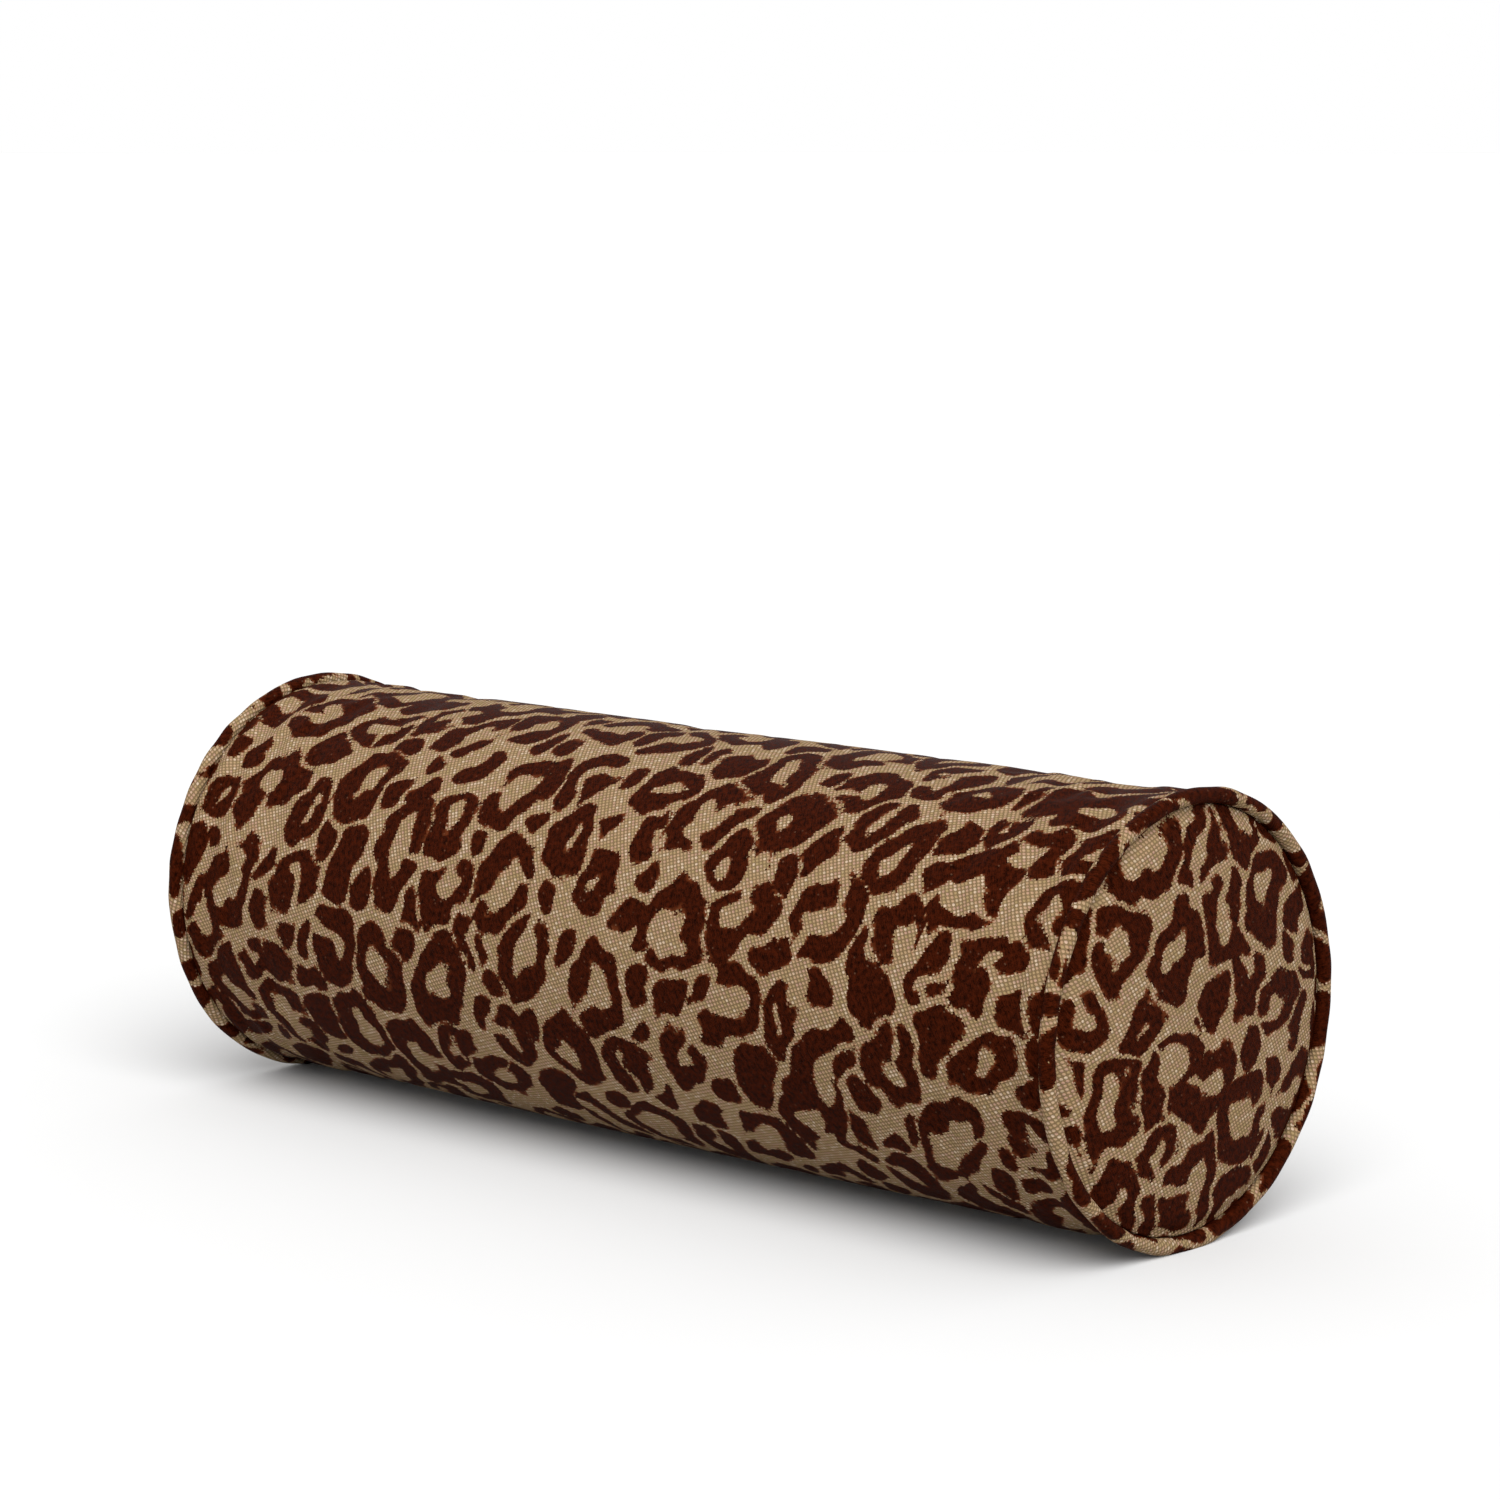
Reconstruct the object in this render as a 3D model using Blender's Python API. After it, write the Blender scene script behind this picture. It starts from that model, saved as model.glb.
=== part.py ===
# Bolster pillow: a piped cylindrical cover, zipped at the back, over a foam insert.
#
# Run with: blender --background --python part.py
# Metres, +Z up. The pillow lies along X, its zip faces +Y, and it rests on its two
# rings of piping at z = 0. Lengths run along X, and radii are from the pillow's axis.

import math

import bmesh
import bpy
from mathutils import Matrix

# Cover
LENGTH = 0.508  # between the centres of the two rings of piping
BARREL_RADIUS = 0.089  # outer face of the barrel panel
FABRIC = 0.0010
SEAM_ALLOWANCE = 0.010
FOLD_RADIUS = 0.0010  # middle of the cloth, where a panel turns into its seam
END_DOME = 0.007  # how far the filling pushes an end panel out
END_FLAT_RADIUS = 0.015

# Piping
PIPING_DIAMETER = 0.0066
PIPING_PROUD = 0.0036  # how far it stands beyond the panels' outer faces
REST_PRESS = 0.0012  # how far the floor flattens it

# Zip: two coils on two tapes, in a slit between folded edges
ZIP_INSET = 0.054  # from each end of the chain to the middle of the piping
SLIT_CLEARANCE = 0.0011  # between the slider and each folded edge
FOLD_WIDTH = 0.013  # cloth turned under along the closing seam and the slit
TAPE_WIDTH = 0.0138
TAPE_THICKNESS = 0.0006
TAPE_TAIL = 0.008  # tape beyond each end of the chain
COIL_WIDTH = 0.0017
COIL_HEIGHT = 0.0019
WEDGE_CHANNEL = 0.0018  # left between the coils for the slider's wedge
STOP_LENGTH = 0.0026
BARTACK_LENGTH = 0.0018
BARTACK_WIDTH = 0.0130
THREAD = 0.0006
STITCH_INSET = 0.0035  # stitching line, from the folded edge

# Slider and pull tab
SLIDER_LENGTH = 0.0090
SLIDER_WALL = 0.0008
WEDGE_LENGTH = 0.0030
CROWN_LENGTH = 0.0064
CROWN_WIDTH = 0.0018
CROWN_POST = 0.0008
TAB_THICKNESS = 0.0008
TAB_LENGTH = 0.0240
TAB_WIDTH = 0.0056
TAB_ARM = 0.0012

# Insert
CASING = 0.0006
BATTING = 0.0120

# Care label, sewn inside beyond the zip and left blank
LABEL_LENGTH = 0.016
LABEL_WIDTH = 0.026
LABEL_THICKNESS = 0.0003

GAP = 0.0003  # between pieces that touch
SEGMENTS = 64  # round the axis
BEAD_STEPS = 12  # round the piping

# Worked out from the sizes above
HALF = LENGTH / 2
BEAD_RADIUS = PIPING_DIAMETER / 2
RING_RADIUS = BARREL_RADIUS + PIPING_PROUD - BEAD_RADIUS
AXIS_HEIGHT = BARREL_RADIUS + PIPING_PROUD - REST_PRESS
PANEL_OFFSET = BARREL_RADIUS - FABRIC / 2 - RING_RADIUS  # panel's middle, from the bead's centre
FLANGE_HALF = FABRIC + GAP / 2
ALLOWANCE_OFFSET = FLANGE_HALF + GAP + FABRIC / 2
BEAD_WRAP = max(  # from the bead's centre to a panel's middle beside it
    BEAD_RADIUS + GAP + FABRIC / 2,
    math.sqrt(2) * ALLOWANCE_OFFSET + FOLD_RADIUS - PANEL_OFFSET,
)
SEAM_START = max(
    math.sqrt(BEAD_WRAP**2 - ALLOWANCE_OFFSET**2) + GAP,
    ALLOWANCE_OFFSET + math.sqrt(2) * (2 * FOLD_RADIUS - PANEL_OFFSET),
)
SEAM_END = SEAM_START + SEAM_ALLOWANCE

CHAIN_LENGTH = LENGTH - 2 * ZIP_INSET
CHAIN_HALF_WIDTH = WEDGE_CHANNEL / 2 + COIL_WIDTH
SLIDER_HALF_WIDTH = CHAIN_HALF_WIDTH + GAP + SLIDER_WALL
SLIT_HALF_WIDTH = SLIDER_HALF_WIDTH + SLIT_CLEARANCE
SLIT_HALF_LENGTH = CHAIN_LENGTH / 2 + GAP + STOP_LENGTH + GAP
FOLD_EDGE = SLIT_HALF_WIDTH + FOLD_WIDTH
TAPE_EDGE = WEDGE_CHANNEL / 2 + TAPE_WIDTH
FOLD_INNER = BARREL_RADIUS - 2 * FABRIC
TAPE_OUTER = FOLD_INNER - GAP
TAPE_INNER = TAPE_OUTER - TAPE_THICKNESS
COIL_BASE = TAPE_OUTER + GAP
COIL_TOP = COIL_BASE + COIL_HEIGHT
SLIDER_BOTTOM = TAPE_INNER - GAP - SLIDER_WALL

INSERT_RADIUS = BARREL_RADIUS - FABRIC - GAP
INSERT_HALF = HALF + PANEL_OFFSET - FABRIC / 2 - GAP
INSERT_CHAMFER = SEAM_END * math.sqrt(2) + FABRIC
INSERT_FLAT = -GAP + min(
    SLIDER_BOTTOM,
    TAPE_INNER * math.cos(TAPE_EDGE / TAPE_INNER),
    FOLD_INNER * math.cos(FOLD_EDGE / FOLD_INNER),
)
INSERT_DENT = INSERT_RADIUS - INSERT_FLAT  # how far the zip presses into it

LEOPARD = (0.25, 0.17, 0.10)
PIPING_BROWN = (0.22, 0.14, 0.08)
TAPE_BROWN = (0.07, 0.04, 0.025)
BRASS = (0.55, 0.43, 0.24)
COTTON = (0.80, 0.78, 0.72)
FOAM = (0.86, 0.80, 0.62)
WHITE = (0.86, 0.86, 0.84)


def clear_scene():
    for old in list(bpy.data.objects):
        bpy.data.objects.remove(old)


def add_object(name, mesh, colour, roughness, metallic=0.0):
    """Put a mesh on the pillow's axis, with a material of its own."""
    material = bpy.data.materials.new(name)
    material.use_nodes = True
    shader = material.node_tree.nodes["Principled BSDF"]
    shader.inputs["Base Color"].default_value = (*colour, 1.0)
    shader.inputs["Roughness"].default_value = roughness
    shader.inputs["Metallic"].default_value = metallic
    mesh.materials.append(material)
    mesh.shade_smooth()
    mesh.set_sharp_from_angle(angle=math.radians(35))
    piece = bpy.data.objects.new(name, mesh)
    bpy.context.collection.objects.link(piece)
    piece.location.z = AXIS_HEIGHT
    return piece


def mesh_from(bm, name):
    bmesh.ops.remove_doubles(bm, verts=bm.verts, dist=1e-6)
    bmesh.ops.recalc_face_normals(bm, faces=bm.faces)
    mesh = bpy.data.meshes.new(name)
    bm.to_mesh(mesh)
    bm.free()
    return mesh


# Outlines


def thicken(path, thickness):
    """Closed outline of a layer of cloth whose middle follows the path."""
    one_side, other_side = [], []
    for index, (across, up) in enumerate(path):
        before = path[max(index - 1, 0)]
        after = path[min(index + 1, len(path) - 1)]
        normals = []
        for start, end in ((before, (across, up)), ((across, up), after)):
            run = (end[0] - start[0], end[1] - start[1])
            length = math.hypot(*run)
            if length > 0:
                normals.append((-run[1] / length, run[0] / length))
        first, last = normals[0], normals[-1]
        spread = 1 + first[0] * last[0] + first[1] * last[1]
        mitre = [(first[axis] + last[axis]) / spread * thickness / 2 for axis in (0, 1)]
        one_side.append((across + mitre[0], up + mitre[1]))
        other_side.append((across - mitre[0], up - mitre[1]))
    return one_side + other_side[::-1]


def from_seam(along, side):
    """Point given along the seam's slanted line from the bead's centre, and to its side."""
    return ((-along - side) / math.sqrt(2), (side - along) / math.sqrt(2))


def turned_edge():
    """Path of a panel's edge beside the piping, from the panel to the tip of its allowance."""
    path = []
    for step in range(4):
        turn = math.radians(30 * step)
        across = -BEAD_WRAP - FOLD_RADIUS * (1 - math.sin(turn))
        path.append((across, PANEL_OFFSET - FOLD_RADIUS * (1 - math.cos(turn))))
    path.append(from_seam(SEAM_START, ALLOWANCE_OFFSET))
    path.append(from_seam(SEAM_END, ALLOWANCE_OFFSET))
    return path


def barrel_outline():
    right = [(HALF + across, RING_RADIUS + up) for across, up in turned_edge()]
    left = [(-along, radius) for along, radius in right[::-1]]
    return thicken(left + [(0.0, BARREL_RADIUS - FABRIC / 2)] + right, FABRIC)


def end_panel_outline():
    """The edge is the barrel's, mirrored about the seam, and the middle is domed."""
    edge = [(HALF + up, RING_RADIUS + across) for across, up in turned_edge()]
    rim_x, rim_radius = edge[0]
    dome = [(rim_x + END_DOME, 0.0)]
    for step in range(6):
        share = step / 6
        radius = END_FLAT_RADIUS + (rim_radius - END_FLAT_RADIUS) * share
        dome.append((rim_x + END_DOME * (1 - share**2), radius))
    return thicken(dome + edge, FABRIC)


def bead_arc(radius, opening):
    """Points round the bead, leaving an opening of that half width towards the seam."""
    first = math.asin(opening / radius)
    sweep = 2 * (math.pi - first)
    turns = [first + sweep * step / BEAD_STEPS for step in range(BEAD_STEPS + 1)]
    return [from_seam(radius * math.cos(turn), radius * math.sin(turn)) for turn in turns]


def sleeve_outline():
    """Bias strip folded round the cord, with both of its edges in the seam."""
    outside = [from_seam(SEAM_END, FLANGE_HALF), *bead_arc(BEAD_RADIUS, FLANGE_HALF)]
    outside.append(from_seam(SEAM_END, -FLANGE_HALF))
    inside = [from_seam(SEAM_END, GAP / 2), *bead_arc(BEAD_RADIUS - FABRIC, GAP / 2)]
    inside.append(from_seam(SEAM_END, -GAP / 2))
    return at_bead(outside + inside[::-1])


def cord_outline():
    radius = BEAD_RADIUS - FABRIC - GAP
    turns = [math.tau * step / BEAD_STEPS for step in range(BEAD_STEPS)]
    return at_bead([(radius * math.cos(turn), radius * math.sin(turn)) for turn in turns])


def at_bead(outline):
    return [(HALF + across, RING_RADIUS + up) for across, up in outline]


def chamfered(half, radius, chamfer):
    """Right half of a long section, from its middle out to its end face."""
    return [(0.0, radius), (half - chamfer, radius), (half, radius - chamfer)]


# Solids


def turn_round_axis(name, outline, on_axis=False):
    """Spin an outline of (along, radius) points into a ring, or a disc if it meets the axis."""
    bm = bmesh.new()
    verts = [bm.verts.new((along, radius, 0.0)) for along, radius in outline]
    edges = [bm.edges.new(pair) for pair in zip(verts, verts[1:])]
    if not on_axis:
        edges.append(bm.edges.new((verts[-1], verts[0])))
    bmesh.ops.spin(
        bm, geom=verts + edges, axis=(1, 0, 0), cent=(0, 0, 0), steps=SEGMENTS, angle=math.tau,
        use_merge=False,
    )
    return mesh_from(bm, name)


def mirrored(mesh):
    """The same solid for the pillow's left end."""
    twin = mesh.copy()
    twin.transform(Matrix.Scale(-1, 4, (1, 0, 0)))
    twin.flip_normals()
    return twin


def arc_strip(name, half_length, inner, outer, low, high):
    """Strip along X that follows the barrel's curve, between two widths from the chain's line."""
    middle_radius = (inner + outer) / 2
    steps = max(1, round(abs(high - low) / 0.0045))
    bm = bmesh.new()
    sections = []
    for along in (-half_length, half_length):
        section = []
        for radius, order in ((outer, range(steps + 1)), (inner, range(steps, -1, -1))):
            for step in order:
                turn = (low + (high - low) * step / steps) / middle_radius
                place = (along, radius * math.cos(turn), radius * math.sin(turn))
                section.append(bm.verts.new(place))
        sections.append(section)
        bm.faces.new(section)
    start, end = sections
    for index in range(len(start)):
        after = (index + 1) % len(start)
        bm.faces.new((start[index], start[after], end[after], end[index]))
    return mesh_from(bm, name)


def add_box(bm, low, high):
    made = bmesh.ops.create_cube(bm, size=1.0)["verts"]
    for vert in made:
        for axis in range(3):
            middle = (low[axis] + high[axis]) / 2
            vert.co[axis] = middle + vert.co[axis] * (high[axis] - low[axis])


def box_mesh(name, low, high):
    bm = bmesh.new()
    add_box(bm, low, high)
    return mesh_from(bm, name)


def boolean(piece, other_mesh, operation):
    """Join a mesh to a piece, or cut it away, and keep only the result."""
    helper = bpy.data.objects.new(piece.name + "_helper", other_mesh)
    bpy.context.collection.objects.link(helper)
    helper.location = piece.location
    modifier = piece.modifiers.new("Boolean", "BOOLEAN")
    modifier.operation = operation
    modifier.object = helper
    bpy.context.view_layer.update()
    graph = bpy.context.evaluated_depsgraph_get()
    result = bpy.data.meshes.new_from_object(piece.evaluated_get(graph))
    piece.modifiers.remove(modifier)
    bpy.data.objects.remove(helper)
    piece.data = result


def press_on_floor(mesh):
    """Flatten the bead where the pillow rests on it, each layer against the one below."""
    for vert in mesh.vertices:
        radius = math.hypot(vert.co.y, vert.co.z)
        from_centre = math.hypot(abs(vert.co.x) - HALF, radius - RING_RADIUS)
        if from_centre < BEAD_RADIUS + GAP / 2:
            level = -AXIS_HEIGHT + max(0.0, BEAD_RADIUS - from_centre)
            vert.co.z = max(vert.co.z, level)


def press_by_zip(mesh):
    """Flatten a layer of the insert where the zip lies against it."""
    for vert in mesh.vertices:
        radius = math.hypot(vert.co.y, vert.co.z)
        vert.co.y = min(vert.co.y, radius - INSERT_DENT)


# Cover


def add_barrel_panel():
    tube = turn_round_axis("barrel_panel", barrel_outline())
    piece = add_object("barrel_panel", tube, LEOPARD, 0.75)
    fold_half = HALF - BEAD_WRAP - FOLD_RADIUS - (SEAM_END + ALLOWANCE_OFFSET) / math.sqrt(2)
    turned_under = arc_strip(
        "turned_under", fold_half, FOLD_INNER, FOLD_INNER + 1.5 * FABRIC, -FOLD_EDGE, FOLD_EDGE
    )
    boolean(piece, turned_under, "UNION")
    low = (-SLIT_HALF_LENGTH, BARREL_RADIUS / 2, -SLIT_HALF_WIDTH)
    high = (SLIT_HALF_LENGTH, BARREL_RADIUS * 1.1, SLIT_HALF_WIDTH)
    boolean(piece, box_mesh("slit", low, high), "DIFFERENCE")


def add_end_panels():
    right = turn_round_axis("end_panel_right", end_panel_outline(), on_axis=True)
    add_object("end_panel_left", mirrored(right), LEOPARD, 0.75)
    add_object("end_panel_right", right, LEOPARD, 0.75)


def add_piping():
    for part, outline, colour in (
        ("sleeve", sleeve_outline(), PIPING_BROWN),
        ("cord", cord_outline(), COTTON),
    ):
        right = turn_round_axis(f"piping_{part}_right", outline)
        press_on_floor(right)
        add_object(f"piping_{part}_left", mirrored(right), colour, 0.8)
        add_object(f"piping_{part}_right", right, colour, 0.8)


# Zip


def add_zip():
    tape_half = CHAIN_LENGTH / 2 + TAPE_TAIL
    chain_half = CHAIN_LENGTH / 2
    inner_edge = WEDGE_CHANNEL / 2
    stitch_line = SLIT_HALF_WIDTH + STITCH_INSET
    for side, name in ((1, "upper"), (-1, "lower")):
        edges = sorted((side * inner_edge, side * TAPE_EDGE))
        tape = arc_strip(f"zip_tape_{name}", tape_half, TAPE_INNER, TAPE_OUTER, *edges)
        add_object(f"zip_tape_{name}", tape, TAPE_BROWN, 0.8)

        edges = sorted((side * inner_edge, side * CHAIN_HALF_WIDTH))
        coil = box_mesh(
            f"zip_coil_{name}", (-chain_half, COIL_BASE, edges[0]), (chain_half, COIL_TOP, edges[1])
        )
        add_object(f"zip_coil_{name}", coil, TAPE_BROWN, 0.4)

        stop_start = chain_half + GAP
        stop = box_mesh(
            f"zip_top_stop_{name}",
            (stop_start, COIL_BASE, edges[0]),
            (stop_start + STOP_LENGTH, COIL_TOP, edges[1]),
        )
        add_object(f"zip_top_stop_{name}", stop, BRASS, 0.3, 1.0)

        edges = sorted((side * stitch_line, side * (stitch_line + THREAD)))
        base = BARREL_RADIUS + GAP
        stitching = arc_strip(f"zip_stitching_{name}", chain_half, base, base + THREAD, *edges)
        add_object(f"zip_stitching_{name}", stitching, TAPE_BROWN, 0.7)

    stop_end = -chain_half - GAP
    stop = box_mesh(
        "zip_bottom_stop",
        (stop_end - STOP_LENGTH, COIL_BASE, -CHAIN_HALF_WIDTH),
        (stop_end, COIL_TOP, CHAIN_HALF_WIDTH),
    )
    add_object("zip_bottom_stop", stop, BRASS, 0.3, 1.0)


def add_bartacks():
    base = BARREL_RADIUS + GAP
    start = SLIT_HALF_LENGTH + GAP
    for side, name in ((1, "right"), (-1, "left")):
        ends = sorted((side * start, side * (start + BARTACK_LENGTH)))
        tack = arc_strip(
            f"zip_bartack_{name}",
            BARTACK_LENGTH / 2,
            base,
            base + THREAD,
            -BARTACK_WIDTH / 2,
            BARTACK_WIDTH / 2,
        )
        tack.transform(Matrix.Translation((sum(ends) / 2, 0, 0)))
        add_object(f"zip_bartack_{name}", tack, TAPE_BROWN, 0.7)


def slider_place():
    """Middle of the slider at rest, against the top stops."""
    return CHAIN_LENGTH / 2 - GAP - SLIDER_LENGTH / 2


def add_slider():
    """Two plates joined by the wedge, with side walls and a crown. Its origin is on the chain."""
    half = SLIDER_LENGTH / 2
    outside = SLIDER_HALF_WIDTH
    inside = outside - SLIDER_WALL
    top = COIL_TOP + GAP
    wedge = WEDGE_CHANNEL / 2 - GAP
    crown_foot = top + SLIDER_WALL
    crown_under = crown_foot + tab_clearance()
    boxes = [
        ((-half, top, -outside), (half, crown_foot, outside)),
        ((-half, SLIDER_BOTTOM, -outside), (half, SLIDER_BOTTOM + SLIDER_WALL, outside)),
        ((half - WEDGE_LENGTH, SLIDER_BOTTOM + GAP, -wedge), (half, crown_foot - GAP, wedge)),
    ]
    for side in (1, -1):
        walls = sorted((side * inside, side * outside))
        wall_low = (-half, TAPE_OUTER + GAP, walls[0])
        boxes.append((wall_low, (half, top + SLIDER_WALL / 2, walls[1])))
        posts = sorted((side * CROWN_LENGTH / 2, side * (CROWN_LENGTH / 2 - CROWN_POST)))
        post_low = (posts[0], top + SLIDER_WALL / 2, -CROWN_WIDTH / 2)
        boxes.append((post_low, (posts[1], crown_under + CROWN_POST / 2, CROWN_WIDTH / 2)))
    crown_low = (-CROWN_LENGTH / 2, crown_under, -CROWN_WIDTH / 2)
    boxes.append((crown_low, (CROWN_LENGTH / 2, crown_under + CROWN_POST, CROWN_WIDTH / 2)))

    first, *others = boxes
    piece = add_object("zip_slider", box_mesh("zip_slider", *first), BRASS, 0.3, 1.0)
    for low, high in others:
        boolean(piece, box_mesh("slider_part", low, high), "UNION")
    piece.data.transform(Matrix.Translation((0, -COIL_BASE, 0)))
    piece.location = (slider_place(), COIL_BASE, AXIS_HEIGHT)


def tab_clearance():
    """Height under the crown: the tab's bar turns in it."""
    return TAB_THICKNESS * math.sqrt(2) + GAP


def add_pull_tab():
    """A plate whose slot leaves a bar under the crown. Its origin is on that bar."""
    reach = CROWN_LENGTH / 2 + GAP + CROWN_POST
    half_width = TAB_WIDTH / 2
    slot_half = half_width - TAB_ARM
    bar = TAB_THICKNESS / 2
    outline = [(bar, -half_width), (bar, half_width)]
    end_middle = bar - TAB_LENGTH + half_width
    for step in range(9):
        turn = math.radians(90 + 22.5 * step)
        outline.append((end_middle + half_width * math.cos(turn), half_width * math.sin(turn)))
    bm = bmesh.new()
    bottom = bm.faces.new([bm.verts.new((along, -bar, up)) for along, up in outline])
    top = bmesh.ops.extrude_face_region(bm, geom=[bottom])["geom"]
    for part in top:
        if isinstance(part, bmesh.types.BMVert):
            part.co.y = bar
    piece = add_object("zip_pull_tab", mesh_from(bm, "zip_pull_tab"), BRASS, 0.3, 1.0)
    slot = box_mesh("tab_slot", (-reach, -TAB_WIDTH, -slot_half), (-bar, TAB_WIDTH, slot_half))
    boolean(piece, slot, "DIFFERENCE")
    bar_height = COIL_TOP + GAP + SLIDER_WALL + tab_clearance() / 2
    piece.location = (slider_place(), bar_height, AXIS_HEIGHT)


# Insert


def add_insert():
    face = INSERT_HALF
    chamfer = INSERT_CHAMFER
    shell = chamfered(face - CASING / 2, INSERT_RADIUS - CASING / 2, chamfer - CASING / 2)
    barrel = [(-along, radius) for along, radius in shell[:0:-1]] + shell
    add_pressed("insert_barrel_casing", thicken(barrel, CASING), False, COTTON)

    rim = INSERT_RADIUS - chamfer - CASING - GAP
    disc = [(face, 0.0), (face, rim), (face - CASING, rim), (face - CASING, 0.0)]
    add_pressed_pair("insert_end_casing", disc, COTTON)

    inner_face = face - CASING - GAP
    wrap_radius = INSERT_RADIUS - CASING - GAP
    pad_inner = inner_face - BATTING
    pad_radius = INSERT_RADIUS - chamfer - BATTING / 2
    pad = [
        (inner_face, 0.0),
        (inner_face, pad_radius - BATTING / 2),
        (pad_inner, pad_radius + BATTING / 4),
        (pad_inner, 0.0),
    ]
    add_pressed_pair("batting_end_pad", pad, WHITE)

    wrap_half = pad_inner - GAP
    corner = chamfer - (face - wrap_half)
    wrap = [
        (-wrap_half, wrap_radius - corner - CASING),
        (-wrap_half + corner, wrap_radius),
        (wrap_half - corner, wrap_radius),
        (wrap_half, wrap_radius - corner - CASING),
        (wrap_half, wrap_radius - BATTING),
        (-wrap_half, wrap_radius - BATTING),
    ]
    add_pressed("batting_wrap", wrap, False, WHITE)

    core_radius = wrap_radius - BATTING - GAP
    core_half = pad_inner - GAP
    core = [(-core_half, 0.0), (-core_half, core_radius), (core_half, core_radius), (core_half, 0.0)]
    add_pressed("foam_core", core, True, FOAM)


def add_pressed(name, outline, on_axis, colour):
    mesh = turn_round_axis(name, outline, on_axis)
    press_by_zip(mesh)
    add_object(name, mesh, colour, 0.9)


def add_pressed_pair(name, outline, colour):
    right = turn_round_axis(f"{name}_right", outline, on_axis=True)
    press_by_zip(right)
    add_object(f"{name}_left", mirrored(right), colour, 0.9)
    add_object(f"{name}_right", right, colour, 0.9)


def add_care_label():
    start = -CHAIN_LENGTH / 2 - TAPE_TAIL - GAP - LABEL_LENGTH
    outer = (FOLD_INNER - GAP) * math.cos(LABEL_WIDTH / 2 / FOLD_INNER) - GAP
    label = box_mesh(
        "care_label",
        (start, outer - LABEL_THICKNESS, -LABEL_WIDTH / 2),
        (start + LABEL_LENGTH, outer, LABEL_WIDTH / 2),
    )
    add_object("care_label", label, WHITE, 0.8)


clear_scene()
add_barrel_panel()
add_end_panels()
add_piping()
add_zip()
add_bartacks()
add_slider()
add_pull_tab()
add_insert()
add_care_label()
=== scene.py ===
import math

import bmesh
import bpy
import numpy as np
from mathutils import Matrix, Vector


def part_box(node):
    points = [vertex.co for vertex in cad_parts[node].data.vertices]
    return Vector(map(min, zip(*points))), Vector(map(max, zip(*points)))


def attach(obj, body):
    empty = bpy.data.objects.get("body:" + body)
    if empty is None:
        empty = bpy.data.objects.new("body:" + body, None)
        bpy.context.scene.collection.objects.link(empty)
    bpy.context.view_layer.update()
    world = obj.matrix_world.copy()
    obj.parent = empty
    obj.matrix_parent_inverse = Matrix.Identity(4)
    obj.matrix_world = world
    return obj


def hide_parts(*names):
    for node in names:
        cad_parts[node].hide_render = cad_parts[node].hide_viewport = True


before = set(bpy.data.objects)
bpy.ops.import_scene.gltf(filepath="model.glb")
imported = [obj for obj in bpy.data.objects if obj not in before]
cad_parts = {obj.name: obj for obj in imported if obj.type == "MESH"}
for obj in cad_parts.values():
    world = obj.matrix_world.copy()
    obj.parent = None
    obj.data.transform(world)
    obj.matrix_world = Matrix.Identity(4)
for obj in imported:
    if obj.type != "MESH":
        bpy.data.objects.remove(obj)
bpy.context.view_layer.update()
print("frame loaded:", len(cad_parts), "nodes")

# Sizes of the pillow, read from its solids. Lengths are in metres, and the cloth's own
# places, which its weave and its pattern follow, are in millimetres.
mm = 0.001
panelLow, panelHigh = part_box("barrel_panel")
cordLow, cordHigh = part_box("piping_cord_right")
sleeveLow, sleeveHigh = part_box("piping_sleeve_right")
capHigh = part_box("end_panel_right")[1]
axisHeight = (panelLow.z + panelHigh.z) / 2
barrelRadius = (panelHigh.z - panelLow.z) / 2
beadX = (cordLow.x + cordHigh.x) / 2
ringRadius = cordHigh.y - (cordHigh.x - cordLow.x) / 2
beadRadius = sleeveHigh.y - ringRadius
panelRise = barrelRadius - ringRadius  # outer face of a panel, beyond the bead's centre
capDome = capHigh.x - beadX - panelRise
floorPress = sleeveLow.z
bothEnds = ((1, "right"), (-1, "left"))
bothRows = ((1, "upper"), (-1, "lower"))
weldReach = 1e-6


# Camera, at the place that gives the pillow's outline

camera = {"azimuth": 42.742, "elevation": 8.414, "lens": 104.44, "sensor": 36.0}
cameraOffset = {"right": 0.01404, "up": 0.08100, "back": 1.87513}


def addCamera():
    turn, tilt = math.radians(camera["azimuth"]), math.radians(camera["elevation"])
    right = Vector((math.cos(turn), math.sin(turn), 0))
    back = Vector((math.sin(turn) * math.cos(tilt), -math.cos(turn) * math.cos(tilt), math.sin(tilt)))
    up = back.cross(right)
    data = bpy.data.cameras.new("camera")
    data.lens, data.sensor_width = camera["lens"], camera["sensor"]
    data.clip_end = 100
    eye = bpy.data.objects.new("camera", data)
    bpy.context.scene.collection.objects.link(eye)
    eye.matrix_world = Matrix((right, up, back)).transposed().to_4x4()
    offset = right * cameraOffset["right"] + up * cameraOffset["up"] + back * cameraOffset["back"]
    eye.location = Vector((0, 0, axisHeight)) + offset
    bpy.context.scene.camera = eye


# Studio: a plain pale floor, a bright surround and one soft light

studio = {"floor": 0.52, "surround": 1.0, "key": 4.3, "spread": 55, "from": (0.74, -0.62, 1.02)}


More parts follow.
